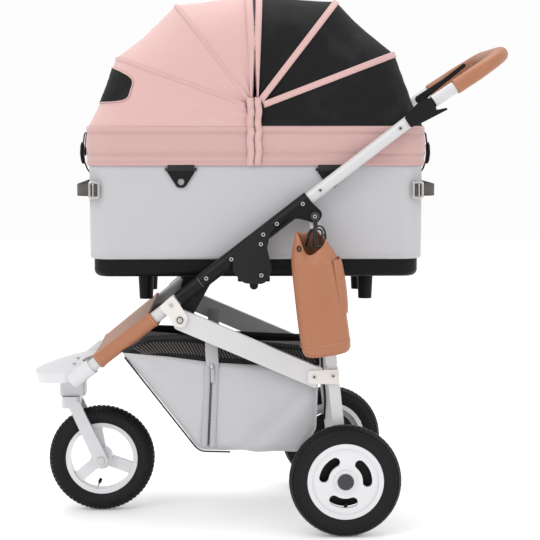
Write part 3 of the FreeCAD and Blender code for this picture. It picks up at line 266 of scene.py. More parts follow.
def woven(name, colour, pitch, depth=0.00018, rough=0.8, wander=0.05, sheen=0.25, melange=0.04):
    mat, tree, shader = new_finish(name)
    coords = add(tree, "ShaderNodeTexCoord")
    uv, where = coords.outputs["UV"], coords.outputs["Object"]
    warp, weft = (add(tree, "ShaderNodeTexWave", {"bands_direction": way}, Vector=uv,
                      Scale=ONE_WAVE / pitch).outputs["Fac"] for way in "XY")
    over = add(tree, "ShaderNodeTexChecker", Vector=uv, Scale=1 / pitch)
    thread = mix_value(tree, over.outputs["Fac"], warp, weft)
    broad = add(tree, "ShaderNodeTexNoise", Vector=where, Scale=7.0, Detail=5.0)
    fleck = add(tree, "ShaderNodeTexNoise", Vector=uv, Scale=0.35 / pitch, Detail=2.0)
    soft = mix_colour(tree, broad.outputs["Fac"], tinted(colour, 1 - wander), tinted(colour, 1 + wander))
    dark = mix_colour(tree, fleck.outputs["Fac"], soft, tinted(colour, 1 - melange * 2))
    lit = mix_colour(tree, 0.16, dark, thread, "MULTIPLY")
    bump = add(tree, "ShaderNodeBump", Strength=0.5, Distance=depth, Height=thread)
    fill(shader, tree, Base_Color=lit, Normal=bump.outputs["Normal"], Roughness=rough,
         Sheen_Weight=sheen, Sheen_Roughness=0.5)
    return mat


def netted(name, thread_colour, hole_colour, pitch):
    mat, tree, shader = new_finish(name)
    coords = add(tree, "ShaderNodeTexCoord")
    cells = add(tree, "ShaderNodeTexVoronoi", {"voronoi_dimensions": "2D"}, Vector=coords.outputs["UV"],
                Scale=1 / pitch, Randomness=0.0)
    hole = add(tree, "ShaderNodeMapRange", Value=cells.outputs["Distance"], From_Min=0.30, From_Max=0.36)
    patch = add(tree, "ShaderNodeTexNoise", Vector=coords.outputs["Object"], Scale=14.0, Detail=3.0)
    light = add(tree, "ShaderNodeMapRange", Value=patch.outputs["Fac"], From_Min=0.52, From_Max=0.72)
    behind = mix_colour(tree, light.outputs["Result"], tinted(hole_colour, 0.35), tinted(hole_colour, 1.6))
    shade = mix_colour(tree, hole.outputs["Result"], behind, tinted(thread_colour, 1.0))
    bump = add(tree, "ShaderNodeBump", Strength=0.7, Distance=0.0003, Height=hole.outputs["Result"])
    fill(shader, tree, Base_Color=shade, Normal=bump.outputs["Normal"], Roughness=0.75,
         Specular_IOR_Level=0.2)
    return mat


PINK = (0.635, 0.400, 0.383)
finish.update({name: woven(name, colour, pitch, **more) for name, colour, pitch, more in (
    ("hood_pink", PINK, 0.0009, {"wander": 0.035}),
    # painted shade: the skirt is the hood's own pink cloth made 12 percent darker, for the shade it lies in
    ("skirt_pink_shaded", tinted(PINK, 0.88)[:3], 0.0009, {"wander": 0.035}),
    ("cot_grey", (0.480, 0.475, 0.495), 0.0010, {"wander": 0.03, "melange": 0.03}),
    ("basket_grey", (0.490, 0.481, 0.502), 0.0010, {"wander": 0.04, "rough": 0.6}),
    ("pad_grey", (0.42, 0.42, 0.44), 0.0016, {"depth": 0.0003}),
    ("webbing_black", (0.008, 0.008, 0.0085), 0.0022, {"depth": 0.0005, "wander": 0.15, "sheen": 0.05}),
    ("webbing_grey", (0.085, 0.074, 0.070), 0.0022, {"depth": 0.0005, "wander": 0.12, "sheen": 0.08}),
    ("lining_dark", (0.018, 0.018, 0.019), 0.0010, {"wander": 0.1}),
    ("thread_pink", tinted(PINK, 1.12)[:3], 0.0004, {}),
    ("thread_tan", (0.60, 0.36, 0.22), 0.0004, {}),
    ("thread_grey", (0.66, 0.66, 0.68), 0.0004, {}),
    ("zip_tape", (0.43, 0.43, 0.45), 0.0008, {}),
)})
finish["mesh_black"] = netted("mesh_black", (0.006, 0.006, 0.0065), (0.018, 0.017, 0.018), 0.0030)
floor_shader = finish["floor"].node_tree.nodes["Principled BSDF"]
fill(floor_shader, None, Emission_Color=(1, 1, 1, 1), Emission_Strength=0.12)
floor.data.materials.append(finish["floor"])
print("all finishes:", len(finish))

# %% [markdown]
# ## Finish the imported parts
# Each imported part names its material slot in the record, so one loop gives all of them their finish.

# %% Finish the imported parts
slot_of = {row["node"]: row["material_slot"] for row in frame["record"]["subparts"]}
for name, part in frame["nodes"].items():
    for place in part.material_slots:
        place.material = finish[slot_of[name]]
print("parts with a finish:", len(slot_of))

# %% [markdown]
# ## Making cloth from a grid of points
# A sheet of cloth is easiest to shape as rows and columns of points: numpy works out the places, and one
# function turns any grid into a mesh. It writes UVs in metres along the cloth, which the weaves read,
# and turns the faces away from a point inside the piece.

# %% Grid to mesh
def show(name, mesh, material=None, body=None):
    piece = bpy.data.objects.new(name, mesh)
    bpy.context.scene.collection.objects.link(piece)
    if material:
        piece.data.materials.append(finish[material])
    if body:
        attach(piece, body)
    return piece


def grid_mesh(name, grid, inside=None, ring=False, lids=(False, False)):
    """Faces between rows of points. A ring joins each row's end to its start, and lids close the ends."""
    grid = np.asarray(grid, float)
    rows, cols = grid.shape[:2]
    step_u = np.linalg.norm(np.diff(grid, axis=1), axis=2).mean(axis=0)
    step_v = np.linalg.norm(np.diff(grid, axis=0), axis=2).mean(axis=1)
    u = np.concatenate([[0], np.cumsum(step_u)])
    v = np.concatenate([[0], np.cumsum(step_v)])
    last = np.linalg.norm(grid[:, 0] - grid[:, -1], axis=1).mean()
    work = bmesh.new()
    points = [[work.verts.new(p) for p in line] for line in grid]
    layer = work.loops.layers.uv.new("UVMap")
    for r in range(rows - 1):
        for c in range(cols if ring else cols - 1):
            d = (c + 1) % cols
            face = work.faces.new([points[r][c], points[r][d], points[r + 1][d], points[r + 1][c]])
            face.smooth = True
            end = u[d] if d else u[-1] + last
            corners = (u[c], v[r]), (end, v[r]), (end, v[r + 1]), (u[c], v[r + 1])
            for loop, place in zip(face.loops, corners):
                loop[layer].uv = place
    for wanted, line in zip(lids, (points[0], points[-1])):
        if wanted:
            face = work.faces.new(line)
            for loop in face.loops:
                loop[layer].uv = loop.vert.co.xy
    if inside is None:
        bmesh.ops.recalc_face_normals(work, faces=work.faces)
    else:
        work.normal_update()
        score = sum((f.calc_center_median() - Vector(inside)).dot(f.normal) * f.calc_area()
                    for f in work.faces)
        if score < 0:
            bmesh.ops.reverse_faces(work, faces=work.faces)
    mesh = bpy.data.meshes.new(name)
    work.to_mesh(mesh)
    work.free()
    return mesh


def loft(name, grid, material=None, body=None, slot=None, **shape):
    """Shows the mesh of a grid of points; shape holds what grid_mesh may be told."""
    return show(name, grid_mesh(name, grid, **shape), material, body)


def merged(mesh):
    """Joins the points where a closed shape's end meets its start."""
    work = bmesh.new()
    work.from_mesh(mesh)
    bmesh.ops.remove_doubles(work, verts=work.verts, dist=1e-6)
    bmesh.ops.recalc_face_normals(work, faces=work.faces)
    work.to_mesh(mesh)
    work.free()
    return mesh


def thicken(piece, thick, side=-1):
    shell = piece.modifiers.new("thickness", "SOLIDIFY")
    shell.thickness, shell.offset = thick, side


def sew(piece, thick, body, stands_for=None, side=-1):
    """Gives a sheet its thickness, keeps it as a plain mesh, and lets it ride on one body."""
    thicken(piece, thick, side)
    settle(piece)
    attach(piece, body)
    if stands_for:
        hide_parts(stands_for)


def rounded(piece):
    smooth = piece.modifiers.new("smooth", "SUBSURF")
    smooth.levels = smooth.render_levels = 1


def settle(piece):
    """Turns the piece with its modifiers into a plain mesh."""
    bpy.context.view_layer.update()
    ready = piece.evaluated_get(bpy.context.evaluated_depsgraph_get())
    mesh = bpy.data.meshes.new_from_object(ready)
    piece.modifiers.clear()
    piece.data = mesh


def wander(points, size, height, seed=0.0):
    """Smooth noise at each point, from -height to height, for cloth that is never quite flat."""
    flat = np.asarray(points, float).reshape(-1, 3)
    shift = Vector((seed, seed * 1.7, -seed))
    value = [noise.noise(Vector(p) / size + shift) for p in flat]
    return np.array(value).reshape(np.asarray(points).shape[:-1]) * height


# %% [markdown]
# ## Paths with round corners
# Hoops, straps, hems and handles follow straight runs joined by arcs. This helper takes corner points
# and radii and gives evenly spaced points, so a section can be swept along them.

# %% Round-cornered paths
ARC_STEPS = 12


def arc_path(corners, radii, count, closed=False):
    corners = [np.array(c, float) for c in corners]
    dense = []
    total = len(corners)
    for i, corner in enumerate(corners):
        if not closed and i in (0, total - 1):
            dense.append(corner)
            continue
        before, after = unit(corners[i - 1] - corner), unit(corners[(i + 1) % total] - corner)
        half = math.acos(max(-1, min(1, float(before @ after)))) / 2
        radius = radii[i] if isinstance(radii, (list, tuple)) else radii
        reach = radius / math.tan(half)
        middle = corner + unit(before + after) * radius / math.sin(half)
        first, second = corner + before * reach - middle, corner + after * reach - middle
        sweep = math.pi - 2 * half
        for k in range(ARC_STEPS + 1):
            a = sweep * k / ARC_STEPS
            dense.append(middle + (first * math.sin(sweep - a) + second * math.sin(a)) / math.sin(sweep))
    if closed:
        dense.append(dense[0])
    dense = np.array(dense)
    return spread(dense, np.linspace(0, distances(dense)[-1], count, endpoint=not closed))


def distances(line):
    """How far along the line each of its points lies."""
    return np.concatenate([[0], np.cumsum(np.linalg.norm(np.diff(line, axis=0), axis=1))])


def spread(line, places, values=None):
    """The line, or values given at its points, looked up at distances along it."""
    values = line if values is None else values
    far = distances(line)
    return np.stack([np.interp(places, far, values[:, k]) for k in range(values.shape[1])], axis=1)


def swept(path, section, up, closed=False):
    """Grid of a section (across, up) carried along a path; up is the section's up at every point."""
    path = np.asarray(path, float)
    along = np.gradient(path, axis=0)
    if closed:
        along = np.roll(path, -1, axis=0) - np.roll(path, 1, axis=0)
    along = unit(along)
    up = np.broadcast_to(np.asarray(up, float), path.shape)
    up = unit(up - along * np.sum(up * along, axis=1)[:, None])
    across = np.cross(along, up)
    return np.stack([path + across * a + up * b for a, b in section], axis=1)


def band_section(width, thick, corner=0.35):
    """A flat strap's section: a rectangle with its corners cut."""
    w, t = width / 2, thick / 2
    c = thick * corner
    return [(-w, -t + c), (-w + c, -t), (w - c, -t), (w, -t + c),
            (w, t - c), (w - c, t), (-w + c, t), (-w, t - c)]


def standing_section(width, thick):
    """The same strap turned by a quarter, so that its width stands up."""
    return [(b, a) for a, b in band_section(width, thick)][::-1]


def round_section(radius, count=12):
    return [(radius * math.cos(q), radius * math.sin(q)) for q in angles(count)]


def strip(name, path, section, up, material, body=None, closed=False):
    """A strap, piping, cord or tube along a path, closed at both ends."""
    grid = swept(path, section, up, closed)
    if closed:
        grid = np.concatenate([grid, grid[:1]])
    mesh = grid_mesh(name, grid, ring=True, lids=(not closed, not closed))
    return show(name, merged(mesh) if closed else mesh, material, body)


# %% [markdown]
# ## Repeats with Geometry Nodes
# Stitches, zip teeth, tread blocks and net ribs are one small shape repeated many times. The first tree
# puts a small block on every point and turns it with two directions stored on the points. The second
# walks along seam lines and lays a stitch every few millimetres. Both end in Realize Instances and
# Set Material, and the result is kept as a plain mesh.

# %% Trees for blocks and stitches
def new_tree(name, sizes):
    tree = bpy.data.node_groups.new(name, "GeometryNodeTree")
    tree.interface.new_socket("Geometry", in_out="INPUT", socket_type="NodeSocketGeometry")
    for label in sizes:
        tree.interface.new_socket(label, in_out="INPUT", socket_type="NodeSocketFloat")
    tree.interface.new_socket("Finish", in_out="INPUT", socket_type="NodeSocketMaterial")
    tree.interface.new_socket("Geometry", in_out="OUTPUT", socket_type="NodeSocketGeometry")
    return tree, tree.nodes.new("NodeGroupInput"), tree.nodes.new("NodeGroupOutput")


def end_tree(tree, start, end, instances):
    real = add(tree, "GeometryNodeRealizeInstances", Geometry=instances)
    done = add(tree, "GeometryNodeSetMaterial", Geometry=real.outputs[0], Material=start.outputs["Finish"])
    tree.links.new(done.outputs[0], end.inputs[0])
    return tree


def block_tree():
    tree, start, end = new_tree("blocks on points", ("Length", "Width", "Height"))
    size = add(tree, "ShaderNodeCombineXYZ", X=start.outputs["Length"], Y=start.outputs["Width"],
               Z=start.outputs["Height"])
    block = add(tree, "GeometryNodeMeshCube", Size=size.outputs[0])
    up = add(tree, "GeometryNodeInputNamedAttribute", {"data_type": "FLOAT_VECTOR"}, Name="up")
    along = add(tree, "GeometryNodeInputNamedAttribute", {"data_type": "FLOAT_VECTOR"}, Name="along")
    stood = add(tree, "FunctionNodeAlignRotationToVector", {"axis": "Z"}, Vector=up.outputs["Attribute"])
    turned = add(tree, "FunctionNodeAlignRotationToVector", {"axis": "X", "pivot_axis": "Z"},
                 Rotation=stood.outputs[0], Vector=along.outputs["Attribute"])
    placed = add(tree, "GeometryNodeInstanceOnPoints", Points=start.outputs["Geometry"],
                 Instance=block.outputs["Mesh"], Rotation=turned.outputs[0])
    return end_tree(tree, start, end, placed.outputs[0])


def stitch_tree():
    tree, start, end = new_tree("stitches on seams", ("Pitch", "Length", "Thread"))
    line = add(tree, "GeometryNodeMeshToCurve", Mesh=start.outputs["Geometry"])
    spaced = add(tree, "GeometryNodeResampleCurve", {"mode": "LENGTH"}, Curve=line.outputs[0],
                 Length=start.outputs["Pitch"])
    stitch = add(tree, "GeometryNodeMeshCylinder", Vertices=5, Radius=start.outputs["Thread"],
                 Depth=start.outputs["Length"])
    heading = add(tree, "GeometryNodeInputTangent")
    turned = add(tree, "FunctionNodeAlignRotationToVector", {"axis": "Z"}, Vector=heading.outputs[0])
    placed = add(tree, "GeometryNodeInstanceOnPoints", Points=spaced.outputs[0],
                 Instance=stitch.outputs["Mesh"], Rotation=turned.outputs[0])
    return end_tree(tree, start, end, placed.outputs[0])


BLOCKS, STITCHES = block_tree(), stitch_tree()


def grow(name, tree, mesh, sizes, material, body=None):
    """Runs a tree on a mesh, with its inputs set by their identifiers, and keeps the plain result."""
    piece = show(name, mesh)
    step = piece.modifiers.new("repeat", "NODES")
    step.node_group = tree
    for item in tree.interface.items_tree:
        if item.in_out == "INPUT" and item.name in sizes:
            step[item.identifier] = sizes[item.name]
        if item.in_out == "INPUT" and item.name == "Finish":
            step[item.identifier] = finish[material]
    settle(piece)
    for face in piece.data.polygons:
        face.use_smooth = False
    if body:
        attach(piece, body)
    return piece


def points_with(name, places, ups, alongs):
    mesh = bpy.data.meshes.new(name)
    mesh.from_pydata([tuple(p) for p in places], [], [])
    for label, values in (("up", ups), ("along", alongs)):
        data = mesh.attributes.new(label, "FLOAT_VECTOR", "POINT")
        data.data.foreach_set("vector", np.asarray(values, np.float32).ravel())
    return mesh


def seam_lines(name, lines):
    mesh = bpy.data.meshes.new(name)
    points, edges = [], []
    for line in lines:
        first = len(points)
        points += [tuple(p) for p in line]
        edges += [(first + k, first + k + 1) for k in range(len(line) - 1)]
    mesh.from_pydata(points, edges, [])
    return mesh


def stitched(name, lines, material, body=None, pitch=0.0042, length=0.0030, thread=0.00042):
    return grow(name, STITCHES, seam_lines(name, lines),
                {"Pitch": pitch, "Length": length, "Thread": thread}, material, body)


print("trees:", BLOCKS.name, "and", STITCHES.name)

# %% [markdown]
# ## The hood's shape
# The hood stands on six thin hoops that turn about one pin on each side of the cot. Each panel of cloth
# is a strip between two neighbouring hoops, and the lowest panels run down to the cot's rim. Every point
# is found from two lines: where it lies around the hoop, and how far it is between one hoop and the next.
# Panels share their hoop's line, so they meet without a gap.

# %% Hoop lines and the cot's outline
PIVOT = np.array([-0.038, 0.0, 0.896])
HALF, CORNER = 0.202, 0.12
COT_X, COT_HALF, COT_CORNER = (-0.387, 0.318), 0.198, 0.046
RIM_Z = 0.855


def hoop_line(angle, reach, count, start=0.020, lift=0.0):
    heading = np.array([math.cos(math.radians(angle)), 0, math.sin(math.radians(angle))])
    across = np.array([0, HALF + lift, 0])
    foot, top = PIVOT + heading * start, PIVOT + heading * (reach + lift)
    return arc_path([foot - across, top - across, top + across, foot + across], CORNER + lift, count)


def cot_loop(offset, count):
    """The cot seen from above, from the middle of its front end round by the left side."""
    (x0, x1), half, corner = COT_X, COT_HALF + offset, COT_CORNER + offset
    x0, x1 = x0 - offset, x1 + offset
    flat = arc_path([(x0, 0), (x0, -half), (x1, -half), (x1, half), (x0, half), (x0, 0.0001)],
                    [0, corner, corner, corner, corner, 0], count + 1)
    return flat[:-1]


def rim_line(end, count, offset=0.004):
    """Half of the cot's rim, from below the left pivot round one end to below the right pivot."""
    x = COT_X[0] - offset if end < 0 else COT_X[1] + offset
    half = COT_HALF + offset
    return arc_path([(PIVOT[0], -half, RIM_Z), (x, -half, RIM_Z), (x, half, RIM_Z), (PIVOT[0], half, RIM_Z)],
                    COT_CORNER + offset, count)


LIFT = 0.0053
FRONT = [("cot", None, None), ("hoop_front_2", 160.0, 0.3097 + LIFT), ("hoop_front_1", 127.2, 0.2726 + LIFT),
         ("hoop_front_centre", 91.5, 0.2420 + LIFT)]
REAR = [("cot", None, None), ("hoop_rear_2", 21.0, 0.3200 + LIFT), ("hoop_rear_1", 52.3, 0.2844 + LIFT),
        ("hoop_rear_centre", 88.5, 0.2420 + LIFT)]
AROUND = 121


def line_of(chain, index, end):
    name, angle, reach = chain[index]
    return rim_line(end, AROUND) if angle is None else hoop_line(angle, reach, AROUND)


def panel_grid(chain, index, end, rows, sag, crease, seed):
    """Rows of points between two hoops, pulled in between them and a little uneven, like loose cloth."""
    low, high = line_of(chain, index, end), line_of(chain, index + 1, end)
    share = np.linspace(0, 1, rows)[:, None, None]
    grid = low * (1 - share) + high * share
    out = grid - np.array([PIVOT[0], 0, PIVOT[2] - 0.03])
    out[..., 1] *= 0.8
    out = unit(out)
    free = np.sin(np.pi * share[..., 0])
    around = np.linspace(0, 1, AROUND)[None, :]
    pull = sag * free * (0.35 + 0.65 * np.sin(np.pi * around))
    folds = wander(grid, 0.075, crease, seed)
    folds = folds + wander(grid * np.array([1, 1, 2.2]), 0.034, crease * 0.5, seed + 3)
    near = np.exp(-(np.minimum(around, 1 - around) / 0.16) ** 2)
    spokes = 0.0016 * near * np.sin(share[..., 0] * np.pi * 5) * free
    return grid + out * (free * folds - pull + spokes)[..., None]


print("hoops:", len(FRONT) + len(REAR) - 2, "panels:", len(FRONT) + len(REAR) - 2)

# %% [markdown]
# ## Hood panels
# The front half is woven cloth and the rear half is net. On the real hood the cloth is cut in tapered
# panels and sewn to a channel round each hoop. Here each panel is a grid between two hoop lines. It is
# made solid with Solidify and kept as a plain mesh.

# %% Hood panels
def bend_between(piece):
    """Bakes the piece's placement into its mesh."""
    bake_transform(piece)


panels = {}
for chain, end, half_name, cloth, solid in ((FRONT, -1, "front", "hood_pink", "hood_front_fabric"),
                                            (REAR, 1, "rear", "mesh_black", "hood_rear_mesh")):
    for k in range(3):
        lowest = k == 0
        grid = panel_grid(chain, k, end, rows=26 if lowest else 20, sag=0.002 if lowest else 0.005,
                          crease=0.0030 if lowest else 0.0018, seed=7.0 * k + end)
        name = "hood_panel_%s_%d" % (half_name, k)
        piece = loft(name, grid, cloth, inside=(PIVOT[0], 0, 0.85))
        thicken(piece, 0.0011)
        settle(piece)
        bend_between(piece)
        panels[name] = grid
        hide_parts(solid)

# %% [markdown]
# ## Seams and ribs over the hoops
# The pink half shows its hoops only as fine double seams with stitches. The net half has flat pink ribs
# sewn over its hoops. A rib is a flat section swept along the hoop line, with the section's up pointing
# away from the pivot, and stitches run along both its edges.

# %% Seams and ribs
def hoop_ups(line):
    """At each point of a hoop, the direction square to it that leads away from the pivot."""
    out = line - PIVOT
    along = unit(np.gradient(line, axis=0))
    normal = np.cross(along, np.cross(line[40] - line[0], [0, 1.0, 0]))
    normal *= np.sign(np.sum(normal * out, axis=1) + 1e-9)[:, None]
    return unit(normal)


HOOP_POINTS, STITCH_INSET = 161, 0.0022


def over_hoop(chain, k, name, width, thick, raise_by, shift=0.0):
    body, angle, reach = chain[k]
    line = hoop_line(angle + shift, reach, HOOP_POINTS, lift=raise_by)
    ups = hoop_ups(line)
    strip(name, line, band_section(width, thick), ups, "hood_pink", body)
    side = np.cross(unit(np.gradient(line, axis=0)), ups)
    edges = [line + ups * (thick / 2) + side * s * (width / 2 - STITCH_INSET) for s in (-1, 1)]
    stitched(name + "_stitches", edges, "thread_pink", body)


for k in (1, 2):
    over_hoop(FRONT, k, "front_seam_%d" % k, 0.0075, 0.0022, raise_by=0.0004)
    over_hoop(REAR, k, "rear_rib_%d" % k, 0.0135, 0.0026, raise_by=0.0010)
over_hoop(FRONT, 3, "front_edge_band", 0.0155, 0.0030, raise_by=0.0016, shift=1.2)
over_hoop(REAR, 3, "rear_edge_band", 0.0145, 0.0030, raise_by=0.0016, shift=-1.0)
print("hoop seams, ribs and edge bands done")

# %% [markdown]
# ## The zip along the top
# The two halves of the hood close with a zip over the middle hoops. Its teeth are small blocks placed on
# two rows of points by the block tree, each row riding with its own half.

# %% Hood zip
def zip_row(name, line, ups, material, body, pitch=0.0032, size=(0.0016, 0.0026, 0.0018)):
    places = np.arange(pitch, distances(line)[-1] - pitch, pitch)
    at, up = spread(line, places), spread(line, places, ups)
    mesh = points_with(name, at, up, np.gradient(at, axis=0))
    return grow(name, BLOCKS, mesh, {"Length": size[0], "Width": size[1], "Height": size[2]}, material, body)


for chain, shift, label in ((FRONT, -1.15, "front"), (REAR, 1.05, "rear")):
    body, angle, reach = chain[3]
    line = hoop_line(angle + shift, reach, HOOP_POINTS, start=0.03, lift=0.0022)
    zip_row("hood_zip_" + label, line, hoop_ups(line), "webbing_grey", body)
print("hood zip rows: 2")

# %% [markdown]
# ## A peek window in the front panel
# A rounded window of net is let into the front end. It is drawn as rings of a rounded rectangle in the
# panel's own two directions, looked up on the panel's grid, and laid just above the cloth.

# %% Peek window
def on_grid(grid, row, col, lift):
    rows, cols = grid.shape[:2]
    r, c = min(max(row, 0), rows - 1.001), min(max(col, 0), cols - 1.001)
    i, j = int(r), int(c)
    fr, fc = r - i, c - j
    place = (grid[i, j] * (1 - fr) * (1 - fc) + grid[i + 1, j] * fr * (1 - fc)
             + grid[i, j + 1] * (1 - fr) * fc + grid[i + 1, j + 1] * fr * fc)
    normal = np.cross(grid[i, j + 1] - grid[i, j], grid[i + 1, j] - grid[i, j])
    normal /= np.linalg.norm(normal)
    if normal @ (place - np.array([PIVOT[0], 0, 0.87])) < 0:
        normal = -normal
    return place + normal * lift


front_grid = panels["hood_panel_front_0"]
W_ROW, W_COL, W_HIGH, W_WIDE = 15.3, 60, 6.4, 27.5
SQUARENESS, WINDOW_POINTS = 0.42, 160


def window_ring(share, lift):
    """A rounded rectangle round the window's middle, in the panel's rows and columns."""
    ring = []
    for k in range(WINDOW_POINTS):
        q = 2 * math.pi * k / WINDOW_POINTS
        c, s = math.cos(q), math.sin(q)
        x, y = math.copysign(abs(c) ** SQUARENESS, c), math.copysign(abs(s) ** SQUARENESS, s)
        ring.append(on_grid(front_grid, W_ROW + y * W_HIGH * share, W_COL + x * W_WIDE * share, lift))
    return np.array(ring)


rings = [window_ring(share, 0.0020) for share in (1.0, 0.93, 0.84, 0.72, 0.58, 0.42, 0.26, 0.1)]
window = loft("peek_window", rings, "mesh_black", slot="mesh_black", inside=(PIVOT[0], 0, 0.87), ring=True,
              lids=(False, True))
for loop, data in zip(window.data.loops, window.data.uv_layers[0].data):
    place = window.data.vertices[loop.vertex_index].co
    data.uv = (place.y + place.x, place.z)
border = strip("peek_window_edge", window_ring(1.0, 0.0018), round_section(0.0013, 6), (-0.8, 0, 0.6),
               "hood_pink", closed=True)
for piece in (window, border):
    settle(piece)
    bend_between(piece)

# %% [markdown]
# ## The skirt
# A pink band hides the join between the hood and the cot. It is one loop of cloth with a rolled hem,
# two sewn lines where it pulls in, and soft bulges between them. Its places come from the cot's outline,
# pushed out by a profile that changes with height, and it puckers beside the zip. Its pink is the hood's
# cloth made a little darker, which is painted shade.

# %% Skirt
SKIRT = [(0.7750, 0.0030), (0.7765, 0.0056), (0.7800, 0.0060), (0.7840, 0.0058), (0.7920, 0.0060),
         (0.7985, 0.0058), (0.8003, 0.0043), (0.8022, 0.0058), (0.8100, 0.0072), (0.8200, 0.0077),
         (0.8300, 0.0074), (0.8400, 0.0062), (0.8428, 0.0046), (0.8446, 0.0062), (0.8500, 0.0070),
         (0.8560, 0.0060), (0.8590, 0.0042), (0.8580, 0.0020)]
SKIRT_LOW, SKIRT_HIGH, HELD = 0.776, 0.858, 0.01


def outward(outline):
    """The outward directions of a flat outline that starts at the cot's front end."""
    ahead = np.roll(outline, -1, axis=0) - np.roll(outline, 1, axis=0)
    normals = unit(np.column_stack([ahead[:, 1], -ahead[:, 0]]))
    return -normals if normals[0, 0] > 0 else normals


loop = cot_loop(0.0, 420)
normals = outward(loop)
from_zip = loop[:, 0] - PIVOT[0]
rows = []
for z, out in SKIRT:
    flat = at_height(loop, z)
    free = min(1.0, max(0.0, (z - SKIRT_LOW) / HELD)) * min(1.0, max(0.0, (SKIRT_HIGH - z) / HELD))
    loose = wander(flat * np.array([1, 1, 1.6]), 0.11, 0.0020, 2.0) + wander(flat, 0.045, 0.0007, 5.0)
    pucker = np.exp(-(from_zip / 0.034) ** 2) * (np.abs(loop[:, 1]) > 0.19)
    fold = pucker * 0.0018 * np.sin(from_zip * 520 + z * 30)
    rows.append(at_height(loop + normals * (out + free * (loose * 0.8 + fold))[:, None], z))
# painted shade: the skirt wears the darkened copy of the hood's pink
skirt = loft("skirt", rows, "skirt_pink_shaded", slot="hood_pink", inside=(-0.03, 0, 0.81), ring=True)
sew(skirt, 0.0016, "cot", "cot_skirt")

hems = ((0.7835, 0.0066), (0.7965, 0.0066), (0.8465, 0.0070))
hem_lines = [closed_line(at_height(loop + normals * out, z)) for z, out in hems]
stitched("skirt_stitches", hem_lines, "thread_pink", "cot")
print("skirt rows:", len(rows), "faces:", len(skirt.data.polygons))

# %% [markdown]
# ## The band beside the zip
# Below the pivot the zip carries on down to the cot, between two pink bands that pucker. Both sides of
# the stroller have it, so one strip is made and its mirror image follows with the sign of Y.

# %% Lower zip bands
for side in (-1, 1):
    for label, x, width in (("front", -0.0465, 0.0150), ("rear", -0.0305, 0.0140)):
        zs = np.linspace(0.7765, 0.918, 46)
        bulge = 0.2047 + 0.0042 * np.exp(-((zs - 0.82) / 0.034) ** 2) + 0.0012 * np.sin(zs * 260 + x * 900)
        bulge = np.where(zs > 0.86, 0.2068 + 0.0008 * np.sin(zs * 300), bulge)
        line = np.column_stack([x + 0.0012 * np.sin(zs * 150), side * bulge, zs])
        strip("zip_band_%s_%s" % (label, side_name(side)), line, band_section(width, 0.0030), (0, side, 0),
              "hood_pink", "cot")
        edges = [line + np.array([s * (width / 2 - STITCH_INSET), side * 0.0017, 0]) for s in (-1, 1)]
        stitched("zip_band_stitches_%s_%s" % (label, side_name(side)), edges, "thread_pink", "cot")
    zs = np.linspace(0.7790, 0.917, 60)
    out = np.interp(zs, [0.77, 0.82, 0.86, 0.92], [0.2050, 0.2086, 0.2072, 0.2072])
    line = np.column_stack([np.full(60, -0.0386), side * out, zs])
    zip_row("lower_zip_" + side_name(side), line, np.broadcast_to([0, float(side), 0], line.shape),
            "webbing_grey", "cot")
print("lower zip bands: 4")

# %% [markdown]
# ## The cot's body
# The cot is a box of padded cloth walls with round corners. A thin profile is carried round the cot's
# outline: up the outside, over the top edge and down the inside, so the wall is one closed skin. The
# sides bow out by a millimetre or two and the cloth is a little uneven.

# %% Cot body
COT = [(-0.0060, 0.5785), (-0.0015, 0.5795), (0.0, 0.5840), (0.0, 0.600), (0.0, 0.630), (0.0, 0.660),
       (0.0, 0.700), (0.0, 0.740), (0.0, 0.775), (0.0, 0.810), (0.0, 0.836), (-0.002, 0.8405),
       (-0.006, 0.8412), (-0.010, 0.8405), (-0.012, 0.836), (-0.012, 0.780), (-0.012, 0.700),
       (-0.012, 0.620), (-0.012, 0.592), (-0.016, 0.5875), (-0.028, 0.5865)]
WALL_LOW, WALL_HIGH = 0.584, 0.836
ring = cot_loop(0.0, 300)
ring_normals = outward(ring)
rows = []
for out, z in COT:
    flat = at_height(ring, z)
    free = math.sin(math.pi * min(1, max(0, (z - WALL_LOW) / (WALL_HIGH - WALL_LOW))))
    loose = free * (0.0009 + wander(flat, 0.16, 0.0011, 9.0) + wander(flat, 0.05, 0.0003, 4.0))
    rows.append(at_height(ring + ring_normals * (out + loose)[:, None], z))
cot_cloth = loft("cot_cloth", rows, "cot_grey", slot="cot_grey", ring=True, lids=(True, True))
settle(cot_cloth)
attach(cot_cloth, "cot")
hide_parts("cot_shell")
base_line = at_height(ring + ring_normals * 0.0006, 0.5868)
stitched("cot_base_stitches", [closed_line(base_line)], "thread_grey", "cot")
print("cot faces:", len(cot_cloth.data.polygons))

# %% [markdown]
# ## The floor cushion
# Inside the cot lies a quilted cushion. A soft cushion swells between its edges, so it is inflated with a
# short cloth simulation: the mesh is remeshed into even small faces, air pressure pushes it out for
# twenty frames, and no point may move further than a few millimetres. The quilting lines are pressed in
# afterwards, because remeshing would have removed them.

# %% Floor cushion
QUILT_X, QUILT_Y = (-0.27, -0.15, -0.035, 0.08, 0.20), (-0.09, 0.0, 0.09)
PAD_LOW, PAD_HIGH, EDGE = 0.5885, 0.6070, 0.005
SIM_FRAMES, MOST_SWELL = 20, 0.006


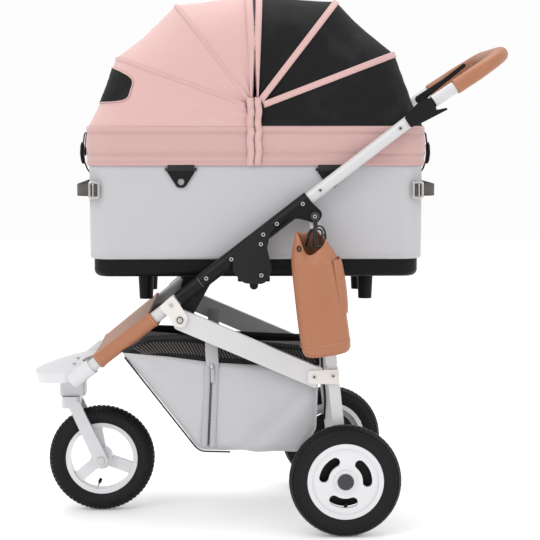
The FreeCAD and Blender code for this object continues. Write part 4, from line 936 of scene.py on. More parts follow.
def cushion(name, outline):
    heights = (PAD_LOW, PAD_LOW + EDGE, PAD_HIGH - EDGE, PAD_HIGH)
    grid = [at_height(outline * share, z) for share, z in zip((0.985, 1.0, 1.0, 0.985), heights)]
    grid = [line + np.array([middle_x, 0, 0]) for line in grid]
    piece = loft(name, grid, ring=True, lids=(True, True))
    even = piece.modifiers.new("even", "REMESH")
    even.mode, even.voxel_size = "VOXEL", 0.006
    settle(piece)
    rest = np.array([v.co for v in piece.data.vertices])
    cloth = piece.modifiers.new("cloth", "CLOTH")
    cloth.settings.use_pressure = True
    cloth.settings.uniform_pressure_force = 4.0
    cloth.settings.effector_weights.gravity = 0.0
    cloth.point_cache.frame_start, cloth.point_cache.frame_end = 1, SIM_FRAMES
    for step in range(1, SIM_FRAMES + 1):
        bpy.context.scene.frame_set(step)
    settle(piece)
    bpy.context.scene.frame_set(1)
    moved = np.array([v.co for v in piece.data.vertices]) - rest
    far = np.linalg.norm(moved, axis=1)
    moved *= np.minimum(1, MOST_SWELL / np.maximum(far, 1e-9))[:, None]
    return piece, rest, rest + moved


middle_x = (COT_X[0] + COT_X[1]) / 2
inner_loop = cot_loop(-0.022, 160) - np.array([middle_x, 0])
pad, pad_rest, pad_now = cushion("cushion", inner_loop)
groove = np.zeros(len(pad_now))
for axis, lines in ((0, QUILT_X), (1, QUILT_Y)):
    for place in lines:
        groove += np.exp(-((pad_now[:, axis] - place) / 0.005) ** 2)
upper = pad_rest[:, 2] > 0.600
pad_now[upper, 2] += 0.003 * (1 - np.minimum(1, groove[upper])) - 0.002
pad_now[:, 2] = np.maximum(pad_now[:, 2], 0.5878)
pad.data.vertices.foreach_set("co", pad_now.astype(np.float32).ravel())
plan = pad.data.uv_layers.new(name="UVMap")
for corner, data in zip(pad.data.loops, plan.data):
    data.uv = pad.data.vertices[corner.vertex_index].co.xy
pad.data.polygons.foreach_set("use_smooth", [True] * len(pad.data.polygons))
pad.data.materials.append(finish["pad_grey"])
rounded(pad)
settle(pad)
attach(pad, "cot")
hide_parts("floor_pad")
STITCH_Z = 0.6075
quilt = [[(x, y, STITCH_Z) for y in np.linspace(-0.165, 0.165, 40)] for x in QUILT_X]
quilt += [[(x, y, STITCH_Z) for x in np.linspace(-0.355, 0.286, 80)] for y in QUILT_Y]
stitched("cushion_stitches", quilt, "thread_grey", "cot")
print("cushion faces:", len(pad.data.polygons))

# %% [markdown]
# ## Carry handles and their clips
# A webbing handle crosses each end of the cot and is held by a bent metal clip on each side. The webbing
# is a flat band swept along a U path; the clip is a metal plate with a rounded slot, made from a closed
# outline swept with a small section.

# %% Carry handles
CARRY_Z, CARRY_HALF = 0.7250, 0.2000


def u_path(end, leg_x):
    corners = [(x, y * CARRY_HALF, CARRY_Z) for x, y in ((leg_x, -1), (end, -1), (end, 1), (leg_x, 1))]
    return arc_path(corners, [0, 0.029, 0.029, 0], 90)


for label, sign, end in (("front", -1, COT_X[0]), ("rear", 1, COT_X[1])):
    path = u_path(end + sign * 0.0244, end - sign * 0.020)
    handle = strip("carry_handle_" + label, path, standing_section(0.0255, 0.0024), (0, 0, 1), "webbing_grey",
                   "cot")
    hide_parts("carry_straps")
    side = np.cross(unit(np.gradient(path, axis=0)), [0, 0, 1.0])
    side *= np.sign(np.sum(side * (path - np.array([end - sign * 0.1, 0, CARRY_Z])), axis=1))[:, None]
    edges = [path + side * 0.0015 + np.array([0, 0, z]) for z in (-0.0105, 0.0105)]
    stitched("carry_handle_stitches_" + label, edges, "webbing_grey", "cot")
    for y in (-1, 1):
        x = end - sign * 0.0120
        clip = [(x + dx, y * 0.2024, z) for dx, z in
                ((-0.0095, 0.7085), (0.0095, 0.7085), (0.0095, 0.7415), (-0.0095, 0.7415))]
        strip("clip_%s_%s" % (label, side_name(y)), arc_path(clip, 0.004, 60, closed=True),
              band_section(0.0052, 0.0026), (0, y, 0), "steel", "cot", closed=True)
        bar = [(x + sign * 0.002, y * 0.2030, z) for z in np.linspace(0.7105, 0.7395, 6)]
        strip("clip_bar_%s_%s" % (label, side_name(y)), bar, round_section(0.0018, 10), (1, 0, 0), "steel",
              "cot")
print("carry handles: 2, clips: 4")

# %% [markdown]
# ## Webbing for the strap rings
# Each triangular ring hangs from a short black webbing tab that is folded over the ring's wire and sewn
# to the cot just under the skirt.

# %% Ring webbing
for sign in (-1, 1):
    for x in (-0.1925, 0.1235):
        tab = arc_path([(x, sign * 0.1990, 0.7860), (x, sign * 0.2000, 0.7720), (x, sign * 0.2012, 0.7655),
                        (x, sign * 0.2042, 0.7655), (x, sign * 0.2046, 0.7720), (x, sign * 0.2028, 0.7790)],
                       [0, 0.003, 0.0015, 0.0015, 0.003, 0], 40)
        name = "ring_tab_%s_%s" % (side_name(sign), "front" if x < 0 else "rear")
        strip(name, tab, band_section(0.056, 0.0012), (0, sign, 0.02), "webbing_black", "cot")
print("ring tabs: 4")

# %% [markdown]
# ## Straps and buckles at the cot's ends
# At each end a webbing strap comes out from under the skirt, passes a small side-release buckle and ends
# above the carry handle. A zip pull with a cord tag hangs beside it.

# %% End straps and buckles
def squircle(q, across, thick):
    """A point of a rounded rectangle, at one angle round it."""
    c, s = math.cos(q), math.sin(q)
    return across * math.copysign(abs(c) ** 0.5, c), thick * math.copysign(abs(s) ** 0.6, s)


def end_strap(tag, sign, end, y):
    path = [(end + sign * out, y, z) for out, z in
            ((0.0075, 0.8480), (0.0165, 0.8430), (0.0195, 0.8200), (0.0200, 0.7900), (0.0110, 0.7660),
             (0.0030, 0.7560), (0.0022, 0.7400))]
    path = arc_path(path, [0, 0.006, 0.01, 0.02, 0.02, 0.006, 0], 60)
    strip("end_strap_" + tag, path, band_section(0.020, 0.0016), (sign, 0, 0.05), "webbing_black", "cot")


def buckle(tag, sign, end, y):
    grid = []
    for z in np.linspace(0.7780, 0.8240, 16):
        wide = np.interp(z, [0.778, 0.783, 0.790, 0.812, 0.819, 0.824],
                         [0.017, 0.023, 0.026, 0.026, 0.023, 0.018])
        x = end + sign * np.interp(z, [0.77, 0.80, 0.83], [0.0185, 0.0222, 0.0205])
        thick = 0.0042 if 0.783 < z < 0.819 else 0.0030
        outline = [squircle(q, wide / 2, thick) for q in angles(24)]
        grid.append([(x + sign * b, y + a, z) for a, b in outline])
    loft("buckle_" + tag, grid, "plastic_black", "cot", "plastic_black", ring=True, lids=(True, True))


PULL_TAG = ((0.7935, 0.0010), (0.7945, 0.0028), (0.7980, 0.0038), (0.8080, 0.0040), (0.8120, 0.0030),
            (0.8135, 0.0012))
STRAP_Y, PULL_OUT, PATCH_HALF = 0.085, 0.0225, 0.045
for label, sign, end in (("front", -1, COT_X[0]), ("rear", 1, COT_X[1])):
    for y in (-STRAP_Y, STRAP_Y):
        tag = "%s_%s" % (label, side_name(y))
        end_strap(tag, sign, end, y)
        buckle(tag, sign, end, y)
    pull = [(end + sign * out, 0, z) for out, z in
            ((0.009, 0.8500), (0.019, 0.8460), (0.0215, 0.8300), (PULL_OUT, 0.8120))]
    strip("pull_cord_" + label, arc_path(pull, [0, 0.006, 0.02, 0], 30), round_section(0.0012, 8), (0, 1, 0),
          "webbing_black", "cot")
    tag_rows = [[(end + sign * PULL_OUT + r * math.cos(q) * 0.7, r * math.sin(q), z) for q in angles(16)]
                for z, r in PULL_TAG]
    loft("pull_tag_" + label, tag_rows, "plastic_black", "cot", "plastic_black", ring=True,
         lids=(True, True))
patch = cot_loop(0.0012, 600)
patch = patch[(np.abs(patch[:, 1]) < PATCH_HALF) & (patch[:, 0] < COT_X[0] / 2)]
patch = patch[np.argsort(patch[:, 1])]
rows = [at_height(patch - np.array([0.0008 * math.sin(math.pi * k / 8), 0]), z)
        for k, z in enumerate(np.linspace(0.612, 0.650, 9))]
blank = loft("blank_patch", rows, "lining_dark", inside=(0, 0, 0.63))
sew(blank, 0.0012, "cot", side=0)
border = [rows[0], rows[-1], np.array([r[0] for r in rows]), np.array([r[-1] for r in rows])]
stitched("blank_patch_stitches", [line - np.array([0.0012, 0, 0]) for line in border], "webbing_grey", "cot")
print("end straps: 4, buckles: 4, pulls: 2")

# %% [markdown]
# ## Tyres with a tread
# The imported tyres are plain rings. Each one is replaced with a turned section: a bead that sits on the
# rim, a sidewall that bulges, a shoulder and a crown. Small rubber blocks are then placed in rows over
# the crown by the block tree, with every other row shifted by a sixth of a step.

# %% Tyres
TYRE = [(0.0803, -0.0150), (0.0812, -0.0168), (0.0835, -0.0182), (0.0855, -0.0184), (0.0868, -0.0192),
        (0.0920, -0.0213), (0.0980, -0.0221), (0.1035, -0.0212), (0.1080, -0.0189), (0.1093, -0.0184),
        (0.1100, -0.0174), (0.1127, -0.0142), (0.1149, -0.0098), (0.1161, -0.0050), (0.1165, 0.0)]
TYRE = TYRE + [(r, -y) for r, y in TYRE[-2::-1]]
CROWN = TYRE[8:15]
SUNK, STAGGER = 0.0004, 0.17
SIDE_RIBS, RIB_RADIUS, RIB_Y = 72, 0.1052, 0.0206


def wheel_point(centre, angle, radius, y):
    return (centre[0] + radius * math.cos(angle), centre[1] + y, centre[2] + radius * math.sin(angle))


def crown_radius(y):
    return float(np.interp(-abs(y), [p[1] for p in CROWN], [p[0] for p in CROWN]))


def blocks(name, spots, size, material, body):
    """Grows a block at each spot, which is a place, an up direction and a direction along."""
    sizes = dict(zip(("Length", "Width", "Height"), size))
    return grow(name, BLOCKS, points_with(name, *zip(*spots)), sizes, material, body)


def tread_spot(centre, a, y, tall):
    """A tread block stands square to the crown, which leans over towards the shoulders."""
    slope = (crown_radius(abs(y) + 0.001) - crown_radius(max(0, abs(y) - 0.001))) / 0.002
    lean = math.atan(-slope) * (1 if y > 0 else -1)
    up = (math.cos(a) * math.cos(lean), math.sin(lean), math.sin(a) * math.cos(lean))
    base = wheel_point(centre, a, crown_radius(y), y)
    return [b + u * (tall / 2 - SUNK) for b, u in zip(base, up)], up, (-math.sin(a), 0, math.cos(a))


def rib_spot(centre, a, side):
    return (wheel_point(centre, a, RIB_RADIUS, side * RIB_Y),
            (math.cos(a) * 0.5, side * 0.86, math.sin(a) * 0.5), (-math.sin(a), 0, math.cos(a)))


def tyre(name, node, body, rows, around, size):
    low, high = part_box(node)
    centre = ((low + high) / 2)[:]
    grid = [[wheel_point(centre, 2 * math.pi * k / 128, r, y) for k in range(128)] for r, y in TYRE]
    grid.append(grid[0])
    piece = show(name, merged(grid_mesh(name, grid, ring=True)), "tyre", body)
    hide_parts(node)
    tread = [tread_spot(centre, 2 * math.pi * (k + STAGGER * (number % 2)) / around, y, size[2])
             for number, y in enumerate(rows) for k in range(around)]
    blocks(name + "_tread", tread, size, "tyre", body)
    ribs = [rib_spot(centre, 2 * math.pi * k / SIDE_RIBS, side) for side in (-1, 1) for k in range(SIDE_RIBS)]
    blocks(name + "_ribs", ribs, (0.0019, 0.0085, 0.0018), "tyre", body)
    return centre


FRONT_ROWS, REAR_ROWS = (-0.0150, -0.0076, 0.0, 0.0076, 0.0150), (-0.0130, 0.0, 0.0130)
wheel_centres = {"front": tyre("front_tyre_rubber", "front_tyre", "front_wheel", FRONT_ROWS, 70,
                               (0.0062, 0.0052, 0.0019))}
for label in ("left", "right"):
    wheel_centres[label] = tyre("rear_tyre_rubber_" + label, "rear_tyre_" + label, "rear_wheel_" + label,
                                REAR_ROWS, 64, (0.0092, 0.0116, 0.0017))
print("wheel centres:", wheel_centres)

# %% [markdown]
# ## Tyre valves
# Air tyres need valves: a thin metal stem from the rim towards the hub with a black cap. Each is a turned
# profile carried along a short straight path.

# %% Valves
def turned_piece(name, start, heading, profile, material, body, sides=14):
    """A lathe shape: profile is (distance along, radius) pairs, both in metres."""
    start, heading = np.array(start, float), unit(heading)
    first = unit(np.cross(heading, [0, 1.0, 0] if abs(heading[1]) < 0.9 else [1.0, 0, 0]))
    second = np.cross(heading, first)
    grid = [[start + heading * d + (first * math.cos(q) + second * math.sin(q)) * r for q in angles(sides)]
            for d, r in profile]
    mesh = grid_mesh(name, grid, ring=True, lids=(True, True))
    return show(name, mesh, material, body)


STEM = [(0, 0.0030), (0.003, 0.0030), (0.004, 0.0022), (0.017, 0.0022)]
CAP = [(0, 0.0036), (0.001, 0.0040), (0.009, 0.0037), (0.0105, 0.0025)]
for label, body, degrees, y in (("front", "front_wheel", -100, -0.0035),
                                ("left", "rear_wheel_left", -94, -0.0050),
                                ("right", "rear_wheel_right", -86, 0.0050)):
    a = math.radians(degrees)
    out = np.array([math.cos(a), 0, math.sin(a)])
    base = np.array(wheel_centres[label]) + out * 0.072 + np.array([0, y, 0])
    heading = np.array([0.25, 0, 0.0]) - out
    turned_piece("valve_stem_" + label, base, heading, STEM, "steel", body)
    turned_piece("valve_cap_" + label, base + unit(heading) * 0.0150, heading, CAP, "plastic_black", body)
print("valves: 3")

# %% [markdown]
# ## Painted shade in the screw sockets
# Each screw is turned with a hexagon key, so its head has a socket, whose inside lies in shade. The imported
# screws are one mesh, whose loose parts are the separate screws: walking over the joined vertices finds
# each one, and its outer end is where a small near-black hexagon goes as painted shade for the socket,
# made there from three blocks that cross.

# %% Screw sockets, painted shade
def loose_parts(mesh):
    """The boxes of a mesh's separate parts, as pairs of lowest and highest corners."""
    work = bmesh.new()
    work.from_mesh(mesh)
    bmesh.ops.remove_doubles(work, verts=work.verts, dist=0.00001)
    left, boxes = set(work.verts), []
    while left:
        wave, part = [left.pop()], []
        while wave:
            vert = wave.pop()
            part.append(vert.co[:])
            for edge in vert.link_edges:
                near = edge.other_vert(vert)
                if near in left:
                    left.remove(near)
                    wave.append(near)
        boxes.append((np.min(part, axis=0), np.max(part, axis=0)))
    work.free()
    return sorted(boxes, key=lambda box: tuple(np.round(box[0], 4)))


ROUND_WITHIN = 0.0006
sockets = {-1.0: [], 1.0: []}
for low, high in loose_parts(frame["nodes"]["frame_screws"].data):
    middle, reach = (low + high) / 2, high - low
    if abs(reach[0] - reach[2]) < ROUND_WITHIN:
        side = -1.0 if middle[1] < 0 else 1.0
        sockets[side].append((middle[0], (low if side < 0 else high)[1], middle[2]))
for side, places in sockets.items():
    for turn in (0, 1, 2):
        q = math.pi / 3 * turn
        # painted shade: near-black blocks stand in for the shaded inside of each socket
        spots = [(place, (0, side, 0), (math.cos(q), 0, math.sin(q))) for place in places]
        blocks("screw_socket_shade_%s_%d" % (side_name(side), turn), spots, (0.0042, 0.0024, 0.0005),
               "plastic_black", "root")
print("screw sockets:", sum(len(places) for places in sockets.values()))
low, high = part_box("knuckles")
for side, outside in ((-1, low[1]), (1, high[1])):
    turned_piece("knee_screw_" + side_name(side), (-0.195, outside - side * 0.0004, 0.455), (0, side, 0),
                 [(0, 0.0056), (0.0006, 0.0056), (0.0014, 0.0047), (0.0018, 0.0034)], "steel", "root", 24)

# %% [markdown]
# ## Leather over the front tubes
# A leather muff is wrapped round both front tubes. Its section is a stadium: two half circles round the
# tubes and two flat runs between them, which droop a little because nothing holds them. The section gets
# narrower towards the foot step. The hems at both ends are stitched, and so are a seam above and one below.

# %% Leather muff
LOW, HIGH = np.array([-0.418, 0.160, 0.322]), np.array([-0.2024, 0.226, 0.4942])
SLOPE = unit([HIGH[0] - LOW[0], 0, HIGH[2] - LOW[2]])
OVER = np.array([-SLOPE[2], 0, SLOPE[0]])
MUFF_RADIUS, HEM = 0.0160, 0.0010


def muff_ring(share, grow_by, count=120):
    middle = LOW + (HIGH - LOW) * share
    half, radius = middle[1], MUFF_RADIUS + grow_by
    centre = np.array([middle[0], 0, middle[2]])
    line = []
    for k in range(count):
        q = 2 * math.pi * k / count
        c, s = math.cos(q), math.sin(q)
        y = math.copysign((half + radius) * min(1.0, abs(c) ** 0.28), c)
        beyond = max(0.0, abs(y) - half)
        high = math.copysign(math.sqrt(max(0.0, radius ** 2 - beyond ** 2)), s)
        droop = -0.0024 * (1 - (min(abs(y), half) / half) ** 2) * (1 if s > 0 else 0.6)
        line.append(centre + OVER * (high + droop) + np.array([0, y, 0]))
    return np.array(line)


shares = np.linspace(0.213, 0.777, 30)
rows = []
for k, share in enumerate(shares):
    at_end = k in (0, 1, len(shares) - 2, len(shares) - 1)
    ring_now = muff_ring(share, HEM if at_end else 0.0)
    rows.append(ring_now + OVER * wander(ring_now, 0.06, 0.0009, 6.0)[:, None])
muff = loft("leather_muff", rows, "leather", slot="leather", ring=True,
            inside=((LOW[0] + HIGH[0]) / 2, 0, 0.41))
sew(muff, 0.0021, "front_frame", "front_cover")
lines = [closed_line(muff_ring(share, 0.0009)) for share in (shares[0] + 0.014, shares[-1] - 0.014)]
lines += [np.array([muff_ring(s, 0.0008)[side] for s in shares]) for side in (34, 86)]
stitched("muff_stitches", lines, "thread_tan", "front_frame", pitch=0.005, length=0.0034,
         thread=0.0005)
print("muff rings:", len(rows))

# %% [markdown]
# ## The leather grip
# The handle is wrapped in leather that is drawn tight and sewn along the inside of the loop. The section
# is a circle with a small notch at the seam, carried along the handle's path, and it swells and pinches
# by fractions of a millimetre as leather over foam does.

# %% Grip
ahead = np.array([math.cos(math.radians(33.5)), 0, math.sin(math.radians(33.5))])
above = np.array([-ahead[2], 0, ahead[0]])
yoke = np.array([0.31854, 0, 0.89946])
GRIP_START, GRIP_END, GRIP_HALF, GRIP_RADIUS = 0.0715, 0.204, 0.226, 0.0160
grip_path = arc_path([yoke + ahead * reach + np.array([0, sign * GRIP_HALF, 0]) for reach, sign in
                      ((GRIP_START, -1), (GRIP_END, -1), (GRIP_END, 1), (GRIP_START, 1))], 0.108, 220)
inward = np.cross(above, unit(np.gradient(grip_path, axis=0)))
inward *= np.sign(np.sum(inward * (yoke + ahead * 0.08 - grip_path), axis=1))[:, None]
rows, seam = [], []
for k, (place, side) in enumerate(zip(grip_path, inward)):
    near = min(k, len(grip_path) - 1 - k)
    base = GRIP_RADIUS - 0.0013 * math.exp(-(near / 0.9) ** 2)
    row = []
    for q in angles(40):
        notch = 0.0010 * math.exp(-(min(q, 2 * math.pi - q) / 0.10) ** 2)
        row.append(place + (side * math.cos(q) + above * math.sin(q)) * (base - notch))
    row = np.array(row)
    rows.append(row + (row - place) / base * wander(row, 0.035, 0.0005, 3.0)[:, None])
    seam.append(place + side * (base - 0.0007))
grip = loft("leather_grip", rows, "leather", "handle", "leather", ring=True, lids=(True, True))
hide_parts("handle_grip")
seam = np.array(seam[3:-3])
stitched("grip_stitches", [seam + above * d for d in (-0.0022, 0.0022)], "thread_tan", "handle",
         pitch=0.0048, length=0.0032, thread=0.0005)
print("grip rings:", len(rows))

# %% [markdown]
# ## The basket
# Under the rails hangs a deep sling. Its lower part is coated grey cloth: one sheet that comes down one
# side, passes under and goes up the other, so it is a grid whose rows run across the stroller. The sides
# bow out and the bottom sags. The sling flattens towards the rails when the front folds under.

# %% Basket cloth
HALF_BASKET = 0.2020


def line_through(points, radii, count):
    return arc_path([(x, 0, z) for x, z in points], radii, count)


sling_low = line_through([(-0.3135, 0.3720), (-0.1570, 0.1700), (0.0640, 0.1640), (0.0930, 0.2150),
                          (0.0985, 0.3480)], [0, 0.03, 0.03, 0.03, 0], 90)
sling_high = line_through([(-0.3150, 0.3815), (-0.2190, 0.3725), (-0.1290, 0.3600), (-0.0450, 0.3550),
                           (0.0990, 0.3530)], [0, 0.05, 0.05, 0.1, 0], 90)


def basket_piece(piece):
    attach(piece, "root")
    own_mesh(piece)
    return piece


def sling_row(low, high):
    """Half a row: down the left side with a bow, round the lower edge and in to the middle, then the rest."""
    tall = float(np.linalg.norm(high - low))
    round_by = min(0.022, tall * 0.4)
    down = (low - high) / tall
    half_row = []
    for share in np.linspace(0, 1, 13):
        bow = 0.0050 * math.sin(math.pi * share) * min(1, tall / 0.08)
        half_row.append(high + down * (tall - round_by) * share + np.array([0, -(HALF_BASKET + bow), 0]))
    for q in math.pi / 2 * np.arange(1, 5) / 5:
        half_row.append(high + down * (tall - round_by + round_by * math.sin(q))
                        + np.array([0, -(HALF_BASKET - round_by * (1 - math.cos(q))), 0]))
    for y in np.linspace(-(HALF_BASKET - round_by), 0, 8):
        sag = 0.0050 * (1 - (y / HALF_BASKET) ** 2)
        half_row.append(low + down * sag * min(1, tall / 0.1) + np.array([0, y, 0]))
    half_row = np.array(half_row)
    return np.vstack([half_row, half_row[-2::-1] * np.array([1, -1, 1])])


rows = np.array([sling_row(low, high) for low, high in zip(sling_low, sling_high)])
creases = wander(rows, 0.085, 0.0042, 11.0) + wander(rows * np.array([1.5, 1, 0.7]), 0.032, 0.0011, 2.0)
calm = np.minimum(1, np.linalg.norm(rows - rows[:, :1], axis=2) / 0.05)
across = (rows[..., 0] - rows[..., 2] + 0.23) / math.sqrt(2)
creases += 0.0045 * np.exp(-((across - 0.026) / 0.020) ** 2) - 0.0055 * np.exp(-(across / 0.013) ** 2)
slack = np.minimum(1, np.linalg.norm(sling_high - sling_low, axis=1) / 0.10)[:, None]
width_way = rows[..., 1:2]
sideways, downwards = np.sign(width_way) * [[[0, 1.0, 0]]], [[[0, 0, -0.5]]]
push = np.where(np.abs(width_way) > HALF_BASKET - 0.004, sideways, downwards)
rows += push * (creases * calm * slack * 0.8)[..., None]
sling = loft("basket_cloth", rows, "basket_grey", slot="basket_grey", inside=(-0.05, 0, 0.30))
thicken(sling, 0.0014)
settle(sling)
basket_piece(sling)
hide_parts("basket")
print("basket faces:", len(sling.data.polygons))

# %% [markdown]
# Above the grey cloth runs a band of dark net with stiffening ribs, hemmed with a dark binding at the rim.
# The ribs repeat, so they are blocks on points again, leaning with the net. The front edges and the rim
# are bound with a dark strip.

# %% Basket net band
left_rim = line_through([(-0.3165, 0.3800), (-0.2620, 0.4120), (-0.1900, 0.4160), (0.1000, 0.3880)],
                        [0, 0.01, 0.05, 0], 90)


def beside(line, sign, out, rise=0.0):
    """A line of the basket's outline, moved out to one side of it."""
    return line + np.array([0, sign * (HALF_BASKET + out), rise])


def rib_spots(rim, sign):
    """The places of the stiffening ribs, which run from the cloth's edge to a spot further forward."""
    spots = []
    for spot in np.linspace(9.0, 86.9, 56):
        k, part = int(spot), spot % 1
        foot = sling_high[k + 1] * (1 - part) + sling_high[k + 2] * part
        head = rim[k - 4] * (1 - part) + rim[k - 3] * part
        spots.append((beside((head + foot) / 2, sign, 0.0004), (0, sign, 0), unit(head - foot)))
    return spots


for sign, label, rise in ((-1, "left", 1.0), (1, "right", 0.35)):
    rim = sling_high * (1 - rise) + left_rim * rise
    rows = []
    for share in np.linspace(0, 1, 9):
        line = sling_high * (1 - share) + rim * share
        loose = wander(line, 0.05, 0.0014, 5.0) * share
        rows.append(beside(line, sign, -0.0005 - 0.0025 * share) + np.outer(sign * loose, [0, 1, 0]))
    net = loft("basket_net_" + label, rows, "mesh_black", slot="mesh_black", inside=(-0.05, 0, 0.38))
    thicken(net, 0.0010)
    settle(net)
    basket_piece(net)
    basket_piece(blocks("basket_ribs_" + label, rib_spots(rim, sign), (0.030 * rise, 0.0022, 0.0014),
                        "webbing_grey", "root"))
    basket_piece(strip("basket_binding_" + label, beside(rim, sign, -0.0032),
                       standing_section(0.0085, 0.0028), (0, 0, 1), "webbing_black"))
    basket_piece(strip("basket_piping_" + label, beside(sling_low[:44], sign, 0.0008),
                       round_section(0.0019, 8), (0, 1, 0), "webbing_black"))
    basket_piece(stitched("basket_stitches_" + label, [beside(sling_high[2:], sign, 0.0010, -0.0040)],
                          "thread_grey", "root"))
for x, left_z, right_z, name in ((-0.3155, 0.3830, 0.3820, "front"), (0.1000, 0.3850, 0.3660, "rear")):
    reach = HALF_BASKET - 0.003
    path = [(x, y, np.interp(y, [-reach, reach], [left_z, right_z])) for y in np.linspace(-reach, reach, 40)]
    basket_piece(strip("basket_binding_" + name, path, band_section(0.0120, 0.0026), (0.3, 0, 1),
                       "webbing_black"))
print("basket net bands: 2, ribs on each:", len(rib_spots(left_rim, -1)))

# %% [markdown]
# On each side a zip runs down the basket, with a tape, a pull and a hanger strap that goes up to the rail.

# %% Basket zips
for sign, label in ((-1, "left"), (1, "right")):
    zs = np.linspace(0.1800, 0.3560, 40)
    xs = np.interp(zs, [0.18, 0.356], [-0.1370, -0.1290])
    bow = np.sin(np.pi * np.clip((zs - 0.17) / 0.19, 0, 1)) * 0.0052
    line = np.column_stack([xs, sign * (HALF_BASKET + 0.0030 + bow), zs])
    for number, shift in enumerate((-0.0085, 0.0085)):
        tape = strip("zip_tape_%d_%s" % (number, label), line + np.array([shift, -sign * 0.0006, 0]),
                     band_section(0.0125, 0.0013), (0, sign, 0), "zip_tape")
        basket_piece(tape)
    ups = np.broadcast_to([0, float(sign), 0], line.shape)
    for number, shift in enumerate((-0.0011, 0.0011)):
        teeth = zip_row("basket_zip_%d_%s" % (number, label), line + np.array([shift, 0, 0]), ups,
                        "webbing_grey", "root", pitch=0.0030, size=(0.0016, 0.0024, 0.0016))
        basket_piece(teeth)
    slider = turned_piece("zip_slider_" + label, line[-1] + np.array([0, sign * 0.0012, 0.002]), (0, 0, -1),
                          [(0, 0.0022), (0.001, 0.0040), (0.009, 0.0044), (0.011, 0.0026)], "steel", None)
    basket_piece(slider)
    tab = [line[-1] + np.array([0.0015, sign * 0.0040, -0.008 - d]) for d in np.linspace(0, 0.030, 12)]
    basket_piece(strip("zip_pull_" + label, tab, band_section(0.0080, 0.0026), (0, sign, 0.02), "zip_tape"))
    hanger = [(-0.1285 + 0.0012 * math.sin(z * 60), sign * (HALF_BASKET + 0.0035), z)
              for z in np.linspace(0.352, 0.430, 20)]
    basket_piece(strip("basket_hanger_" + label, hanger, band_section(0.0270, 0.0016), (0, sign, 0),
                       "zip_tape"))
print("basket zips: 2")

# %% [markdown]
# ## The pouch
# A drawstring pouch hangs outside the left strut. It is lofted from rings that are rounder than an
# ellipse, so it has soft upright edges. The rings near the mouth dip at the front and the rear and rise
# into two peaks, where the folded cloth stands up. The skin turns over the lip and goes on inside.

# %% Pouch
TOP = np.array([0.0725, -0.29965, 0.6480])
DOWN = np.array([math.sin(math.radians(8.2)), 0, -math.cos(math.radians(8.2))])
CROSS = np.array([-DOWN[2], 0, DOWN[0]])
POUCH = [(0.262, 0.30), (0.2615, 0.72), (0.258, 0.92), (0.250, 1.0), (0.247, 0.992), (0.243, 1.02),
         (0.215, 1.035), (0.180, 1.02), (0.145, 1.0), (0.110, 0.985), (0.080, 0.965), (0.058, 0.935),
         (0.042, 0.87), (0.028, 0.78), (0.014, 0.69), (0.004, 0.63), (0.0, 0.60), (0.002, 0.565),
         (0.012, 0.60), (0.030, 0.70), (0.055, 0.80), (0.085, 0.86), (0.120, 0.88)]
DEEP, MOUTH_DEEP, SOFT_EDGE = 0.262, 0.075, 0.70
HALF_LONG, HALF_WIDE = 0.0500, 0.0440
POCKET_TOP, POCKET_TALL, POCKET_REACH = 0.060, 0.120, 13


def eased(value, low, high):
    t = min(1.0, max(0.0, (value - low) / (high - low)))
    return t * t * (3 - 2 * t)


def pouch_ring(depth, share, count=96):
    """One ring of the pouch: the mouth dips towards the front and the rear, and folds up into two peaks."""
    line = []
    mouth = max(0.0, 1 - depth / MOUTH_DEEP)
    for q in angles(count):
        c, s = math.cos(q), math.sin(q)
        x = math.copysign(abs(c) ** SOFT_EDGE, c) * HALF_LONG * share
        y = math.copysign(abs(s) ** SOFT_EDGE, s) * HALF_WIDE * share
        front = max(0.0, -s) ** 1.2 * eased(x, -0.031, -0.014)
        between = math.sin(math.pi * min(1.0, max(0.0, (x + 0.029) / 0.039)))
        drop = mouth * (0.044 * front + 0.024 * eased(x, 0.009, 0.032) * (1 - front) + 0.007 * between)
        line.append(TOP + DOWN * (depth + drop) + CROSS * x + np.array([0, y, 0]))
    return np.array(line)


rows = []
for depth, share in POUCH:
    ring_now = pouch_ring(depth, share)
    out = ring_now - (TOP + DOWN * depth)
    out -= np.outer(out @ DOWN, DOWN)
    out /= np.maximum(np.linalg.norm(out, axis=1), 1e-6)[:, None]
    loose = wander(ring_now * np.array([1.3, 1.3, 0.55]), 0.04, 0.0030, 8.0)
    loose = loose + wander(ring_now, 0.02, 0.0007, 1.0)
    calm = min(1.0, max(0.0, (DEEP - depth) / 0.02)) * 0.8
    rows.append(ring_now + out * (loose * calm)[:, None])
bag = loft("pouch_bag", rows, "leather", slot="leather", ring=True, lids=(True, True))
rounded(bag)
settle(bag)
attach(bag, "pouch")
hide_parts("pouch")
stitched("pouch_stitches", [closed_line(pouch_ring(0.236, 1.055))], "thread_tan", "pouch")
pocket = []
for depth in np.linspace(POCKET_TOP, POCKET_TOP + POCKET_TALL, 22):
    ring_now = pouch_ring(depth, 1.0)
    share = min(1.0, max(0.0, (depth - POCKET_TOP) / POCKET_TALL))
    bulge = 0.0035 + 0.0050 * math.sin(math.pi * share) ** 0.5 if 0 < share < 1 else 0.0035
    pocket.append([ring_now[k] + CROSS * bulge * math.cos(k / POCKET_REACH * math.pi / 2) ** 0.5
                   for k in range(-POCKET_REACH, POCKET_REACH + 1)])
side_pocket = loft("pouch_pocket", pocket, "leather", slot="leather", inside=tuple(TOP + DOWN * 0.12))
sew(side_pocket, 0.0018, "pouch")

# %% [markdown]
# The pouch hangs by a webbing loop from the bolt at the bracket's ear, with a snap hook, and a drawstring
# loop hangs in its mouth. The drawstring is a real cord with its own length: a NURBS curve through a few
# control points.

# %% Pouch hook and drawstring
EAR = np.array([0.0861, -0.2545, 0.6720])


def from_ear(places):
    return [EAR + np.array(place) for place in places]


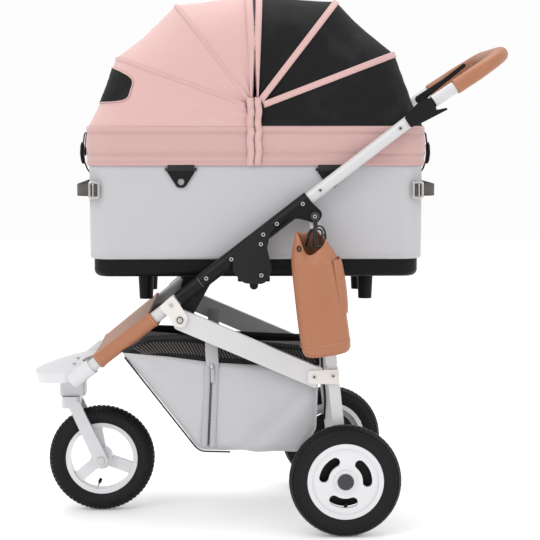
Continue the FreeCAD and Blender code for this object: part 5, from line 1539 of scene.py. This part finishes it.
ring_around = from_ear([(math.cos(q) * 0.0074, 0, math.sin(q) * 0.0074) for q in angles(40)])
strip("pouch_eye", ring_around, round_section(0.0020, 8), (0, 1, 0), "hub_grey", "pouch",
      closed=True)
hanger = arc_path(from_ear([(0, 0, -0.0075), (0.001, -0.006, -0.020), (-0.001, -0.030, -0.036),
                            (-0.002, -0.036, -0.062)]), [0, 0.012, 0.012, 0], 40)
strip("pouch_hanger", hanger, band_section(0.0090, 0.0018), (0, -1, 0.3), "webbing_black", "pouch")
hook = arc_path(from_ear([(-0.004, -0.040, -0.024), (0.012, -0.044, -0.024), (0.014, -0.048, -0.060),
                          (-0.002, -0.044, -0.060)]), 0.0065, 60, closed=True)
strip("pouch_snap_hook", hook, round_section(0.0021, 8), (0, 1, 0), "hub_grey", "pouch",
      closed=True)
for label, depth, share, step, out, facing in (("front", 0.030, 0.80, 63, 0.0024, (-0.55, -0.80, 0.22)),
                                               ("rear", 0.006, 0.66, 13, 0.0075, (0.20, -0.95, 0.25))):
    middle = pouch_ring(depth, share)[step] + np.array(facing) * out
    side = unit(np.cross(facing, DOWN))
    eyelet = [middle + side * math.cos(q) * 0.0040 + DOWN * math.sin(q) * 0.0052 for q in angles(28)]
    strip("pouch_eyelet_" + label, eyelet, round_section(0.0015, 8), facing, "plastic_black",
          "pouch", closed=True)

knots = [(-0.019, -0.020, -0.060), (-0.016, -0.040, -0.030), (-0.006, -0.062, -0.020),
         (0.002, -0.066, -0.040), (-0.004, -0.064, -0.066), (-0.014, -0.060, -0.058),
         (-0.016, -0.052, -0.034), (0.006, -0.050, -0.012), (0.022, -0.042, -0.030), (0.020, -0.024, -0.060)]
cord_data = bpy.data.curves.new("drawstring", "CURVE")
cord_data.dimensions = "3D"
spline = cord_data.splines.new("NURBS")
spline.points.add(len(knots) - 1)
for point, place in zip(spline.points, from_ear(knots)):
    point.co = (*place, 1)
spline.order_u = 3
spline.use_endpoint_u = True
cord_data.resolution_u = 10
drawstring = bpy.data.objects.new("drawstring", cord_data)
bpy.context.scene.collection.objects.link(drawstring)
bpy.context.view_layer.update()
plain = bpy.data.meshes.new_from_object(drawstring.evaluated_get(bpy.context.evaluated_depsgraph_get()))
spots = [v.co for v in plain.vertices]
cord_data.bevel_depth, cord_data.bevel_resolution = 0.0019, 3
cord_data.materials.append(finish["webbing_black"])
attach(drawstring, "pouch")
